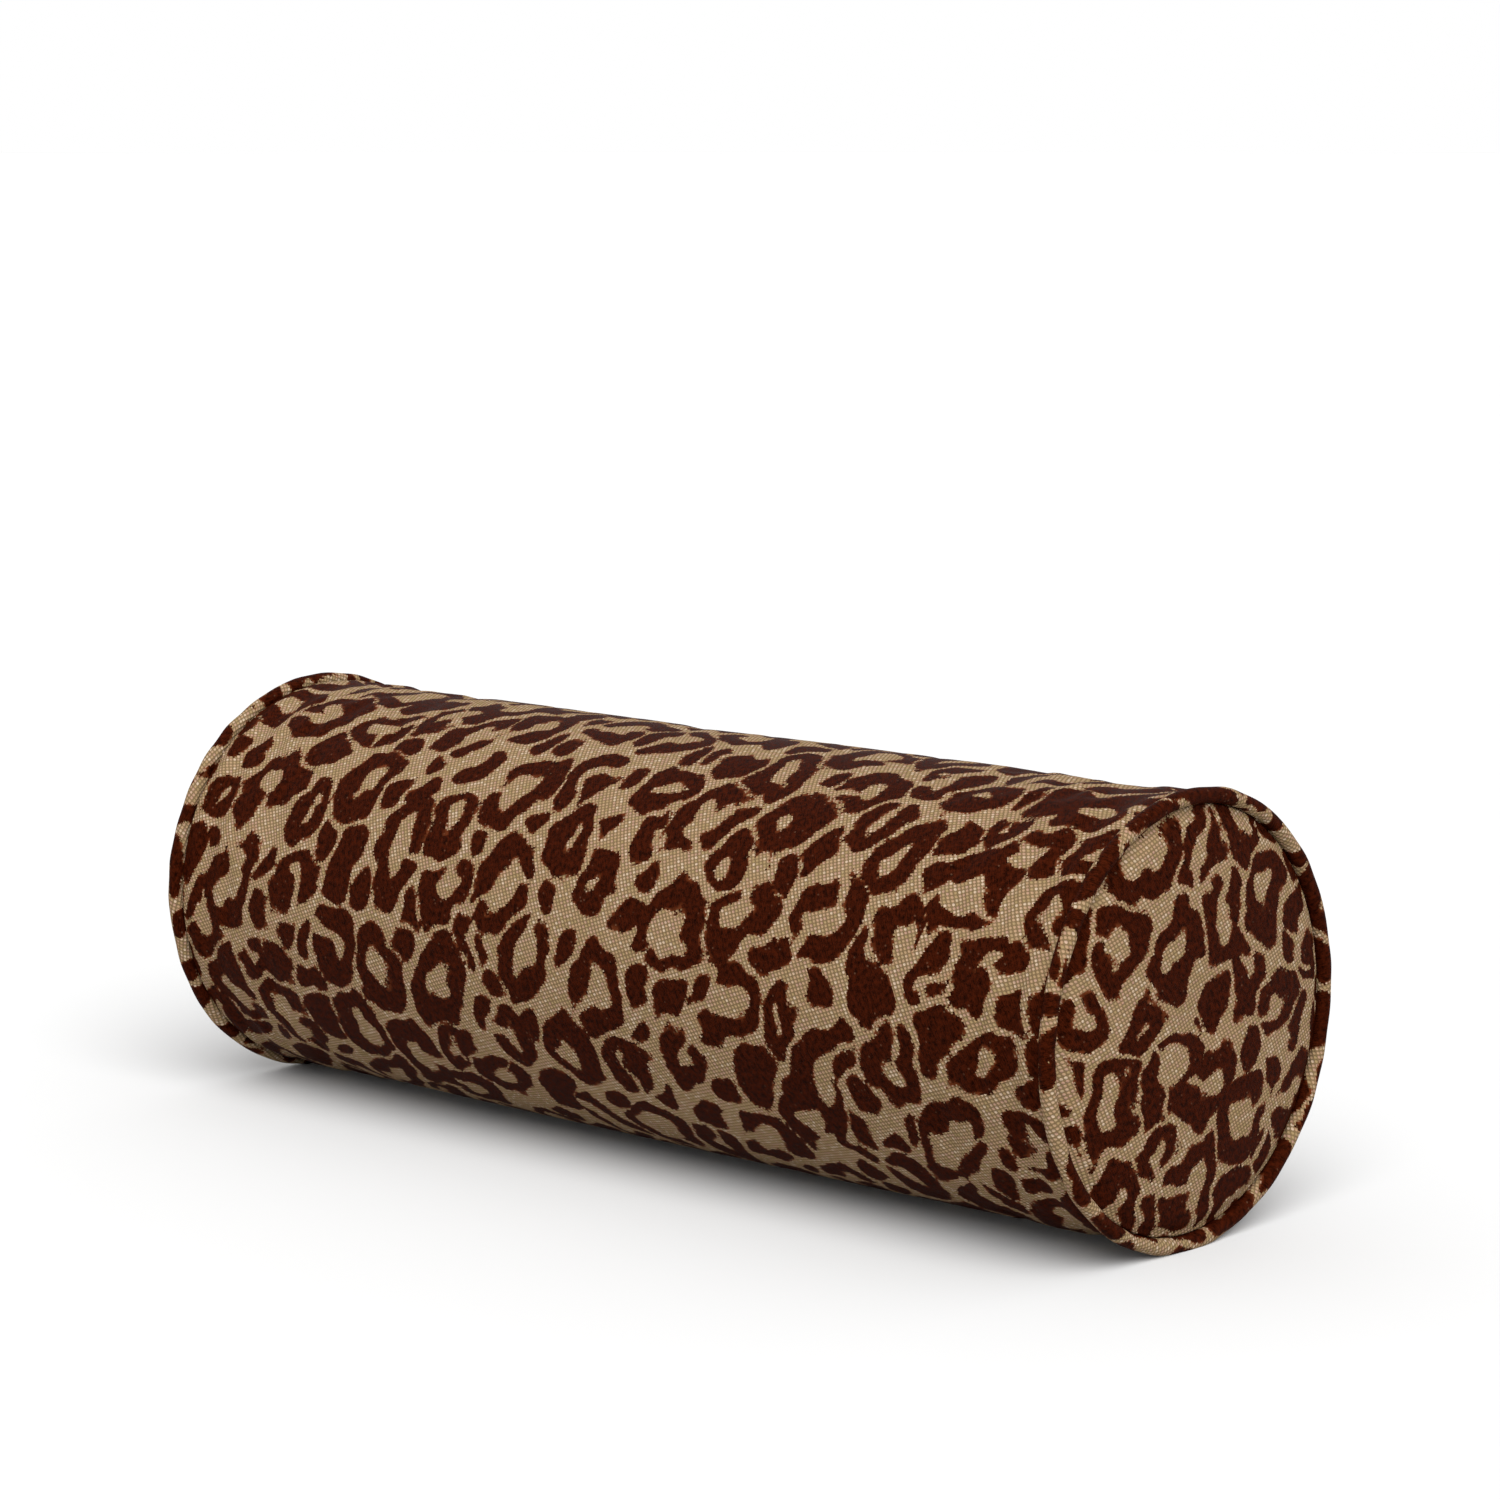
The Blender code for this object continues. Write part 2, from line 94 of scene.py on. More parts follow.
def addStudio():
    scene = bpy.context.scene
    scene.view_settings.view_transform = "Standard"
    scene.world = bpy.data.worlds.new("surround")
    scene.world.use_nodes = True
    background = scene.world.node_tree.nodes["Background"]
    background.inputs["Color"].default_value = (1, 1, 1, 1)
    background.inputs["Strength"].default_value = studio["surround"]
    bpy.ops.mesh.primitive_circle_add(vertices=96, radius=40, fill_type="NGON")
    floor = bpy.context.object
    floor.name = "studio_floor"
    paint = Recipe("pale_floor")
    paint.set({"Base Color": (studio["floor"],) * 3 + (1,), "Roughness": 0.9})
    floor.data.materials.append(paint.material)
    data = bpy.data.lights.new("key", "SUN")
    data.energy, data.angle = studio["key"], math.radians(studio["spread"])
    key = bpy.data.objects.new("key", data)
    scene.collection.objects.link(key)
    key.rotation_euler = Vector(studio["from"]).to_track_quat("Z", "Y").to_euler()


# Shader maths: a Wire is one socket, and an expression on wires adds its Math nodes


class Wire:
    def __init__(self, recipe, socket):
        self.recipe, self.socket = recipe, socket

    def math(self, operation, *others):
        return self.recipe.node("Math", {"operation": operation}, dict(enumerate((self, *others))))

    def __add__(self, other):
        return self.math("ADD", other)

    def __sub__(self, other):
        return self.math("SUBTRACT", other)

    def __mul__(self, other):
        return self.math("MULTIPLY", other)

    def __truediv__(self, other):
        return self.math("DIVIDE", other)

    def __rsub__(self, other):
        return (self * -1).math("ADD", other)

    __radd__, __rmul__ = __add__, __mul__

    def floor(self):
        return self.math("FLOOR")

    def between(self, low, high):
        ends = {0: self, 1: low, 2: high}
        return self.recipe.node("MapRange", {"interpolation_type": "SMOOTHSTEP"}, ends)


class Recipe:
    def __init__(self, name):
        self.material = bpy.data.materials.new(name)
        self.material.use_nodes = True
        self.tree = self.material.node_tree
        self.shader = self.tree.nodes["Principled BSDF"]

    def node(self, kind, settings, sockets, output=0):
        made = self.tree.nodes.new("ShaderNode" + kind)
        for name, value in settings.items():
            setattr(made, name, value)
        for name, value in sockets.items():
            self.feed(made.inputs[name], value)
        return Wire(self, made.outputs[output])

    def feed(self, socket, value):
        if isinstance(value, Wire):
            self.tree.links.new(value.socket, socket)
        else:
            socket.default_value = value

    def set(self, sockets):
        for name, value in sockets.items():
            self.feed(self.shader.inputs[name], value)

    def attribute(self, name, output="Fac"):
        return self.node("Attribute", {"attribute_name": name}, {}, output)

    def split(self, vector):
        parts = self.node("SeparateXYZ", {}, {0: vector}).socket.node
        return [Wire(self, socket) for socket in parts.outputs]

    def join(self, *parts):
        return self.node("CombineXYZ", {}, dict(enumerate(parts)))

    def mix(self, share, *colours):
        first, second = ((*part, 1.0) if isinstance(part, tuple) else part for part in colours)
        return self.node("Mix", {"data_type": "RGBA"}, {0: share, 6: first, 7: second}, 2)

    def chance(self, vector, output=0):
        return self.node("TexWhiteNoise", {}, {"Vector": vector}, output)

    def noise(self, vector, scale, detail=2.0, rough=0.5):
        sockets = {"Vector": vector, "Scale": scale, "Detail": detail, "Roughness": rough}
        return self.node("TexNoise", {}, sockets)

    def bump(self, height, depth):
        sockets = {"Height": height, "Distance": depth, "Strength": 1.0}
        self.set({"Normal": self.node("Bump", {}, sockets)})

    def ownPlace(self):
        return self.node("TexCoord", {}, {}, 3)


# Leopard cloth: the pattern is drawn here as motifs on a plane, in millimetres

leopard = {
    "seed": 21,
    "low": (-300, -330),
    "high": (540, 330),
    "lean": 33,  # degrees, from round the barrel towards along it
    "leanSpread": 22,
    "longer": (1.15, 1.8),
    "sizes": ((13.5, 18.0, 2600), (9.5, 12.5, 5000), (5.8, 8.0, 14000)),
    "packing": 0.86,
    "gap": (1.7, 3.3),
    "stroke": (7.5, 10.2),
    "softness": 1.4,
    "joined": 0.2,
}


def drawMotifs():
    rng = np.random.default_rng(leopard["seed"])
    centres, radii, kinds = np.empty((0, 2)), np.empty(0), []
    stretch = np.array((1, 1.3))
    for kind, (small, large, tries) in enumerate(leopard["sizes"]):
        for place in rng.uniform(leopard["low"], leopard["high"], (tries, 2)):
            radius = rng.uniform(small, large)
            apart = np.hypot(*((centres - place) / stretch).T) - (radii + radius) * leopard["packing"]
            if len(radii) == 0 or apart.min() > 0:
                centres = np.vstack([centres, place])
                radii = np.append(radii, radius)
                kinds.append(kind)
    count = len(radii)
    kinds = np.array(kinds)
    turn = np.radians(rng.normal(leopard["lean"], leopard["leanSpread"], count))
    motifs = {
        "centre": centres,
        "radius": radii,
        "along": np.stack([np.sin(turn), np.cos(turn)], 1),
        "longer": rng.uniform(*leopard["longer"], count),
        "gap": rng.uniform(*leopard["gap"], count),
        "stroke": rng.uniform(*leopard["stroke"], count) * np.array((1, 0.9, 0.8))[kinds],
        "phase": rng.uniform(0, math.tau, (count, 3)),
        "ring": rng.random(count) < np.array((1, 0.72, 0))[kinds],
        "gapCount": rng.choice((0, 1, 1, 2), count),
        "gapTurn": rng.uniform(0, math.tau, count),
        "gapSpread": rng.uniform(1.7, math.pi, count),
        "gapHalf": rng.uniform(1.5, 2.7, count),
        "group": np.arange(count),
    }
    for index in np.flatnonzero(rng.random(count) < leopard["joined"]):
        apart = np.hypot(*((centres - centres[index]) / stretch).T) - radii
        apart[index] = 1e9
        motifs["group"][index] = motifs["group"][apart.argmin()]
    print("motifs drawn:", count)
    return motifs


def ripple(places, wavelength, seed):
    rng = np.random.default_rng(seed)
    total = np.zeros(len(places))
    for turn, phase, stretch in rng.uniform(0, 1, (9, 3)):
        wave = math.tau / wavelength * (0.7 + 0.6 * stretch)
        along = places @ (math.cos(turn * math.pi), math.sin(turn * math.pi))
        total += np.sin(along * wave + phase * math.tau)
    return total / 2.1


def softLeast(values, soft):
    return -soft * np.log(np.exp(-values / soft).sum(-1))


def leopardDepth(places, motifs):
    # how far into the dark each place is, in millimetres, and negative on the ground
    warped = places + 1.7 * np.stack([ripple(places, 36, 1), ripple(places, 36, 2)], 1)
    warped += 0.75 * np.stack([ripple(places, 15, 3), ripple(places, 15, 4)], 1)
    depth = np.full(len(places), -9.0)
    strips = np.floor(places / 45)
    for strip in np.unique(strips, axis=0):
        part = np.flatnonzero((strips == strip).all(1))
        close = (np.abs(motifs["centre"] - (strip + 0.5) * 45) < 22.5 + 52).all(1)
        depth[part] = motifDepth(warped[part], {name: value[close] for name, value in motifs.items()})
    return depth + 0.3 * ripple(places, 8.5, 5)


def motifDepth(point, motifs):
    soft = leopard["softness"]
    away = point[:, None] - motifs["centre"][None]
    lengthwise = (away * motifs["along"]).sum(2)
    wide = away[..., 0] * motifs["along"][:, 1] - away[..., 1] * motifs["along"][:, 0]
    # an ellipse's power: its squared distance, less its radius squared
    half = np.sqrt(motifs["longer"])
    power = (lengthwise / half) ** 2 + (wide * half) ** 2 - motifs["radius"] ** 2
    near = np.argpartition(power, 7, 1)[:, :7]
    near = np.take_along_axis(near, np.take_along_axis(power, near, 1).argsort(1), 1)

    def pick(values):
        return np.take_along_axis(values, near, 1)

    power, lengthwise, wide, half = pick(power), pick(lengthwise), pick(wide), half[near]
    axis = motifs["along"][near]
    side = np.stack([axis[..., 1], -axis[..., 0]], 2)
    steep = axis * (2 * lengthwise / half**2)[..., None] + side * (2 * wide * half**2)[..., None]
    between = np.linalg.norm(steep[:, 1:] - steep[:, :1], axis=2)
    border = (power[:, 1:] - power[:, :1]) / np.maximum(between, 1e-6)
    own = {name: value[near[:, 0]] for name, value in motifs.items()}
    border[motifs["group"][near[:, 1:]] == own["group"][:, None]] = 60
    reach = own["radius"] * 1.35 - np.sqrt(np.maximum(0, power[:, 0] + own["radius"] ** 2))
    edge = softLeast(np.concatenate([border, reach[:, None]], 1), soft)
    dark = edge - own["gap"] / 2
    across, along = wide[:, 0], lengthwise[:, 0]
    turn = np.arctan2(along, across)
    stroke = own["stroke"] * (
        1 + 0.20 * np.sin(turn + own["phase"][:, 0]) + 0.13 * np.sin(2 * turn + own["phase"][:, 1])
    )
    rim = softLeast(np.stack([dark, stroke - dark], 1), 0.5)
    for number in (0, 1):
        aim = own["gapTurn"] + number * own["gapSpread"]
        ahead = across * np.cos(aim) + along * np.sin(aim)
        aside = along * np.cos(aim) - across * np.sin(aim)
        cut = np.where(ahead > 0, np.abs(aside), np.hypot(ahead, aside))
        cut -= own["gapHalf"] * (1 + 0.3 * np.sin(ahead / 5 + own["phase"][:, 2]))
        cutRim = softLeast(np.stack([rim, cut], 1), 0.9)
        rim = np.where(own["gapCount"] > number, cutRim, rim)
    return np.where(own["ring"], rim, dark)


# Meshes from grids of points


def gridFaces(rows, columns, closedRows=False, closedColumns=False):
    index = np.arange(rows * columns).reshape(rows, columns)
    if closedRows:
        index = np.vstack([index, index[:1]])
    if closedColumns:
        index = np.hstack([index, index[:, :1]])
    corners = (index[:-1, :-1], index[:-1, 1:], index[1:, 1:], index[1:, :-1])
    return np.stack([corner.ravel() for corner in corners], 1).tolist()


def gridMesh(name, points, closed=False):
    mesh = bpy.data.meshes.new(name)
    mesh.from_pydata(points.reshape(-1, 3), [], gridFaces(*points.shape[:2], closedColumns=closed))
    mesh.shade_smooth()
    return mesh


def addPiece(name, mesh, material, node=None, body="pillow"):
    piece = bpy.data.objects.new(name, mesh)
    bpy.context.scene.collection.objects.link(piece)
    mesh.materials.append(material)
    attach(piece, body)
    if node:
        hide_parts(node)
    return piece


def roundEdges(bm, size, sharp):
    bmesh.ops.recalc_face_normals(bm, faces=bm.faces)
    edges = [e for e in bm.edges if e.is_manifold and e.calc_face_angle() > sharp]
    bmesh.ops.bevel(
        bm, geom=edges, offset=size, segments=3, profile=0.5, affect="EDGES", clamp_overlap=True
    )


def mend(mesh, lid=(), weld=0.0, bevel=0.0):
    # closes, welds, turns outwards and rounds off a mesh, as asked
    bm = bmesh.new()
    bm.from_mesh(mesh)
    if lid:
        bm.verts.ensure_lookup_table()
        bm.faces.new([bm.verts[corner] for corner in lid])
    if weld:
        bmesh.ops.remove_doubles(bm, verts=bm.verts, dist=weld)
    bmesh.ops.recalc_face_normals(bm, faces=bm.faces)
    if bevel:
        roundEdges(bm, bevel, 0.6)
    bm.to_mesh(mesh)
    bm.free()
    mesh.shade_smooth()


def writeVectors(mesh, name, values):
    flat = np.pad(values.reshape(-1, 2), ((0, 0), (0, 1))).ravel()
    mesh.attributes.new(name, "FLOAT_VECTOR", "POINT").data.foreach_set("vector", flat)


def writeCloth(mesh, places, motifs):
    depth = leopardDepth(places.reshape(-1, 2), motifs).reshape(places.shape[:2])
    rise = np.stack([np.gradient(depth, axis=k) for k in (0, 1)], 2)
    steps = np.stack([np.gradient(places, axis=k) for k in (0, 1)], 2)
    writeVectors(mesh, "clothPlace", places)
    mesh.attributes.new("leopardDepth", "FLOAT", "POINT").data.foreach_set("value", depth.ravel())
    writeVectors(mesh, "leopardSlope", np.linalg.solve(steps, rise[..., None])[..., 0])


def arcPoints(centre, radius, first, last, count):
    turns = np.linspace(math.radians(first), math.radians(last), count)
    return [(centre[0] + radius * math.cos(t), centre[1] + radius * math.sin(t)) for t in turns]


def alongPath(path):
    steps = np.hypot(*np.diff(np.array(path), axis=0).T)
    return np.concatenate([[0], np.cumsum(steps)])


def roundAxis(x, radius, turn):
    # places at a radius and a turn round the pillow's axis
    parts = x, radius * np.cos(turn), axisHeight + radius * np.sin(turn)
    return np.stack(np.broadcast_arrays(*parts), -1)


def seamDive(sign):
    # from beside the piping, down into the seam
    return [
        (
            beadX - (deep + sign * side) * mm / math.sqrt(2),
            ringRadius + (sign * side - deep) * mm / math.sqrt(2),
        )
        for deep, side in ((4.7, 1.45), (6.0, 1.3), (8.6, 1.3))
    ]


# The weave's yarns and colours

weave = {
    "rib": (0.500, 0.290),  # yarns to a millimetre, along and round the barrel: they lie askew
    "pick": (-0.210, 0.605),
    "ragged": 0.95,
    "uneven": 0.22,
    "spread": 0.34,
    "cream": (0.290, 0.186, 0.110),
    "straw": (0.230, 0.162, 0.078),
    "rose": (0.288, 0.174, 0.124),
    "bright": (0.42, 0.325, 0.24),
    # painted shade in the gaps between the pale floats and in their twist grooves
    "between": (0.130, 0.086, 0.042),
    "dark": (0.0042, 0.0005, 0.0001),
    # dark colour of the spots with painted satin sheen on it
    "darkPaintedSheen": (0.034, 0.0050, 0.0013),
    "fringe": (0.110, 0.027, 0.008),
    "ember": (0.33, 0.155, 0.085),  # of pale cells beside a spot
    "speck": (0.30, 0.17, 0.10),
    "relief": 0.0004,
}


def leopardCloth():
    r = Recipe("leopard_jacquard")
    place = r.attribute("clothPlace", "Vector")
    depth = r.attribute("leopardDepth")
    slopeAcross, slopeAlong, _ = r.split(r.attribute("leopardSlope", "Vector"))
    across, along, _ = r.split(place)
    (a, b), (c, d) = weave["rib"], weave["pick"]
    stray = r.noise(place, 0.9, 1.0, 0.5) - 0.5
    ribPlace = across * a + along * b + stray * weave["uneven"]
    pickPlace = across * c + along * d - stray * weave["uneven"]

    # each half crossing of the weave is wholly dark or wholly light
    halfRib, halfPick = ribPlace * 2, pickPlace * 2
    halfColumn, halfRow = halfRib.floor(), halfPick.floor()
    luck = r.chance(r.join(halfColumn, halfRow, 3.0))
    offRib = (halfRib - halfColumn - 0.5) / 2
    offPick = (halfPick - halfRow - 0.5) / 2
    cell = a * d - b * c
    toMiddle = slopeAcross * (offRib * (d / cell) - offPick * (b / cell))
    toMiddle = toMiddle + slopeAlong * (offPick * (a / cell) - offRib * (c / cell))
    ragged = depth - toMiddle + weave["spread"] + (luck - 0.5) * weave["ragged"]
    dark = (ragged / 0.3 + 0.5).between(0.0, 1.0)

    # ground: one plump float of pale yarn to each crossing, with painted shade on its flanks and in the
    # gaps between floats
    column, row = ribPlace.floor(), pickPlace.floor()
    offRib = ribPlace - column - 0.5
    offPick = pickPlace - row - 0.5
    hue, shade, fleck = r.split(r.chance(r.join(column, row, 0.0), 1))
    plump = 1 - (offRib * offRib) * 4.6 - (offPick * offPick) * 3.9
    plump = plump.math("MAXIMUM", 0.0)
    wide = r.noise(place, 0.035, 3.0, 0.6)
    pale = r.mix(hue.between(0.15, 0.95), weave["cream"], weave["straw"])
    pale = r.mix(shade.between(0.60, 0.95), pale, weave["rose"])
    pale = r.mix(fleck.between(0.68, 1.0) * 0.8 + (wide - 0.5) * 0.5, pale, weave["bright"])
    twist = r.noise(r.join(ribPlace * 9 + pickPlace * 5, pickPlace * 2.2 - ribPlace, 0.0), 1.0, 2.0, 0.6)
    # painted shade in the twist grooves of each pale yarn
    pale = r.mix((twist - 0.5) * 0.55 + 0.08, pale, weave["between"])
    # painted shade: the floats darken to the gap colour towards their edges
    ground = r.mix(plump.between(0.0, 0.74), weave["between"], pale)
    warm = depth.between(-1.5, 0.0) * (luck.between(0.35, 0.75)) * 0.55
    ground = r.mix(warm, ground, weave["ember"])

    # spots: satin floats that run along the picks, their sheen painted into the colour as lighter streaks
    streak = r.noise(r.join(ribPlace * 4.2, pickPlace * 0.30, 0.0), 1.0, 3.0, 0.6)
    fine = r.noise(r.join(ribPlace * 9, pickPlace * 2.2, 0.0), 1.0, 2.0, 0.5)
    patch = r.noise(place, 0.45, 2.0, 0.5)
    satin = (streak * 0.45 + fine * 0.40 + patch * 0.40).between(0.48, 0.75)
    # painted sheen: where the satin streaks run, the spots take the lighter, lit dark colour
    spot = r.mix(satin, weave["dark"], weave["darkPaintedSheen"])
    fringe = depth.between(0.9, -0.2) * (shade.between(0.3, 0.75)) * 0.6
    spot = r.mix(fringe, spot, weave["fringe"])
    speck = fleck.math("GREATER_THAN", 0.975) * plump.between(0.5, 0.95)
    spot = r.mix(speck * depth.between(6.0, 1.0) * 0.15, spot, weave["speck"])

    r.set({
        "Base Color": r.mix(dark, ground, spot),
        "Roughness": 0.88 - dark * 0.34 + (satin - 0.5) * dark * 0.14,
        "Specular IOR Level": 0.012,
        "Specular Tint": (1.0, 0.62, 0.35, 1.0),
    })
    height = (1 - dark) * (plump * 0.8 + twist * 0.12) + dark * (0.34 + satin * 0.20)
    r.bump(height, weave["relief"])
    return r.material


# Swelling: a coarse copy of a panel is simulated as cloth with air pressed into it

swelling = {"growth": 0.012, "pressure": 3.5, "frames": 18, "cap": 1.9 * mm}


def swell(name, points, pinned):
    # how far each point of a panel moves when the filling presses it out
    mesh = gridMesh(name, points, True)
    piece = bpy.data.objects.new(name, mesh)
    bpy.context.scene.collection.objects.link(piece)
    group = piece.vertex_groups.new(name="seam")
    group.add(np.flatnonzero(pinned.ravel()).tolist(), 1.0, "REPLACE")
    cloth = piece.modifiers.new("Cloth", "CLOTH")
    settings = cloth.settings
    settings.quality, settings.mass = 6, 0.25
    settings.tension_stiffness = settings.compression_stiffness = 25
    settings.shear_stiffness, settings.bending_stiffness = 8, 0.6
    settings.vertex_group_mass = "seam"
    settings.shrink_min = settings.shrink_max = -swelling["growth"]
    settings.use_pressure = True
    settings.uniform_pressure_force = swelling["pressure"]
    settings.effector_weights.gravity = 0
    scene = bpy.context.scene
    for number in range(1, swelling["frames"] + 1):
        scene.frame_set(number)
    graph = bpy.context.evaluated_depsgraph_get()
    moved = np.array([vert.co for vert in piece.evaluated_get(graph).data.vertices])
    moved = moved.reshape(points.shape) - points
    scene.frame_set(1)
    bpy.data.objects.remove(piece)
    size = np.linalg.norm(moved, axis=2, keepdims=True)
    print(f"{name}: moved up to {size.max() / mm:.2f} mm, {size.mean() / mm:.2f} mm on average")
    return moved * np.minimum(1, swelling["cap"] / np.maximum(size, 1e-9))


def spreadOver(values, at, axis, closed=False):
    # values on an even grid, read between its lines by cubic steps
    count = values.shape[axis]
    base = np.floor(at).astype(int)
    share = (at - base).reshape([-1 if k == axis else 1 for k in range(values.ndim)])
    total = 0
    for offset, weight in (
        (-1, ((-share + 2) * share - 1) * share / 2),
        (0, ((3 * share - 5) * share * share + 2) / 2),
        (1, ((-3 * share + 4) * share + 1) * share / 2),
        (2, (share - 1) * share * share / 2),
    ):
        index = (base + offset) % count if closed else np.clip(base + offset, 0, count - 1)
        total = total + np.take(values, index, axis) * weight
    return total


# Barrel

barrel = {
    "step": 2.0 * mm,
    "around": 288,
    "fold": 1.7 * mm,
    "swellRows": 86,
    "swellColumns": 96,
    "sink": 0.55 * mm,  # the furthest in that the filling lets the cloth go
    "seamDip": (0.55 * mm, 1.3 * mm),  # depth and width
    "stitchDip": (0.4 * mm, 1.1 * mm),
    "stitchLine": 3.4 * mm,
}
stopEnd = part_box("zip_top_stop_upper")[1].x
sliderLow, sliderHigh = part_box("zip_slider")
slitHalf = (sliderHigh.z - sliderLow.z) / 2 + 1.1 * mm
slitEnd = stopEnd + 0.3 * mm


def barrelPath():
    # outer face of the barrel, from its middle to where it dives in beside the piping
    fold = barrel["fold"]
    wrap = beadRadius + 0.1 * mm
    start = beadX - wrap - fold
    count = int(start / barrel["step"])
    path = [(x, barrelRadius) for x in np.linspace(0, start - 3 * mm, count)]
    path += [(start - 2 * mm, barrelRadius), (start - mm, barrelRadius)]
    path += arcPoints((start, barrelRadius - fold), fold, 90, 0, 7)
    return path + seamDive(1)


def addBarrel(cloth, motifs):
    right = barrelPath()
    left = [(-x, radius) for x, radius in right[:0:-1]]
    path = np.array(left + right)
    lengths = alongPath(path)
    lengths -= lengths[-1] / 2
    columns = barrel["around"]
    turns = np.linspace(0, math.tau, columns + 1)

    # The filling presses the tube out between its seams
    rows, coarse = barrel["swellRows"], barrel["swellColumns"]
    flatEnd = beadX - beadRadius - barrel["fold"]
    tubeX = np.linspace(-flatEnd, flatEnd, rows)
    tubeTurn = np.arange(coarse) * math.tau / coarse
    tubeRadius = barrelRadius * (1 - 0.006 * np.sin(np.linspace(0, math.pi, rows)) ** 0.4)
    tube = np.stack(np.broadcast_arrays(
        tubeX[:, None],
        tubeRadius[:, None] * np.cos(tubeTurn)[None],
        tubeRadius[:, None] * np.sin(tubeTurn)[None],
    ), 2)
    pinned = np.zeros((rows, coarse), bool)
    pinned[[0, -1]] = True
    pinned[np.abs(tubeX) < slitEnd, 0] = True
    moved = swell("barrel_swelling", tube, pinned)
    outward = moved[..., 1] * np.cos(tubeTurn) + moved[..., 2] * np.sin(tubeTurn)
    outward += (tubeRadius - barrelRadius)[:, None]
    outward = np.maximum(outward, -barrel["sink"])
    outward[:, 0] = 0
    atRow = np.clip((path[:, 0] + flatEnd) / (2 * flatEnd) * (rows - 1), 0, rows - 1.001)
    rise = spreadOver(spreadOver(outward, atRow, 0), turns / math.tau * coarse, 1, True)
    rise *= np.clip((flatEnd - np.abs(path[:, 0])) / (3 * mm), 0, 1)[:, None]

    # Edges of the closing seam: they part at the zip and fold under
    away = np.abs(path[:, 0])
    parted = np.clip((slitEnd + 1.5 * mm - away) / (3 * mm), 0, 1)
    parted = parted * parted * (3 - 2 * parted)
    halfGap = 0.1 * mm + (slitHalf - 0.1 * mm) * parted
    first = halfGap[:, None] / barrelRadius
    turn = first + (math.tau - 2 * first) * turns[None] / math.tau
    fromEdge = np.minimum(turns, math.tau - turns)[None] * barrelRadius
    radius = path[:, 1:] + rise
    dips = ((barrel["seamDip"], 0, 1 - parted), (barrel["stitchDip"], barrel["stitchLine"], parted))
    for (deep, wide), line, share in dips:
        radius = radius - deep * np.exp(-(((fromEdge - line) / wide) ** 2)) * share[:, None]
    column = int(round(barrel["stitchLine"] / (math.tau * barrelRadius / columns)))
    atStitches = {1: radius[:, column], -1: radius[:, -1 - column]}
    aroundCloth = (math.pi - turn) * barrelRadius / mm
    places = np.stack(np.broadcast_arrays(lengths[:, None] / mm, aroundCloth), 2)

    # Rows turned under at both edges
    underSteps = ((0.55, 0.35), (0.45, 0.9), (-0.2, 1.25), (-2.0, 1.3), (-6.0, 1.3), (-11.0, 1.3))
    edges = []
    for side in (0, -1):
        sign = 1 if side == 0 else -1
        strips = []
        for out, deep in underSteps:
            stripTurn = turn[:, side] - sign * out * mm / barrelRadius
            stripRadius = radius[:, side] - deep * mm
            stripPlace = places[:, side] + np.array([0, sign * (out + deep)])
            strips.append((stripTurn, stripRadius, stripPlace))
        edges.append(strips)

    def withEdges(part, middle):
        sides = (edges[0][::-1], edges[1])
        before, after = (np.stack([strip[part] for strip in strips], 1) for strips in sides)
        return np.concatenate([before, middle, after], 1)

    turn, radius, places = (withEdges(*pair) for pair in enumerate((turn, radius, places)))
    mesh = gridMesh("barrel_cloth", roundAxis(path[:, :1], radius, turn)[:, ::-1])
    writeCloth(mesh, places[:, ::-1], motifs)
    piece = addPiece("barrel_cloth", mesh, cloth, "barrel_panel")
    print("barrel done:", len(mesh.vertices), "points")

    def clothRadius(x, side):
        return float(np.interp(x, path[:, 0], atStitches[side]))

    return clothRadius


# End panels

endPanel = {
    "rings": 62,
    "around": 300,
    "swellRings": 17,
    "swellAround": 72,
    "sink": 1.0 * mm,  # how far the middle sits in before the filling presses it out
    "across": 410,  # where each end is cut from the cloth
    "along": (-140, 140),
}


def capHeight(radius):
    # outer face of an end panel, from its rim's plane
    flat = ringRadius - beadRadius - 1.7 * mm
    share = np.clip(radius / flat, 0, 1)
    return capDome * (1 - share**2.9)


def capPath():
    fold = 1.6 * mm
    wrap = beadRadius + 0.1 * mm
    rim = ringRadius - wrap - fold
    path = [(beadX + panelRise + capHeight(r), r) for r in np.linspace(0.4 * mm, rim, endPanel["rings"])]
    path += [
        (beadX + panelRise - fold + fold * math.sin(t), rim + fold * math.cos(t))
        for t in np.linspace(math.radians(80), 0, 6)
    ]
    return path + seamDive(-1), rim


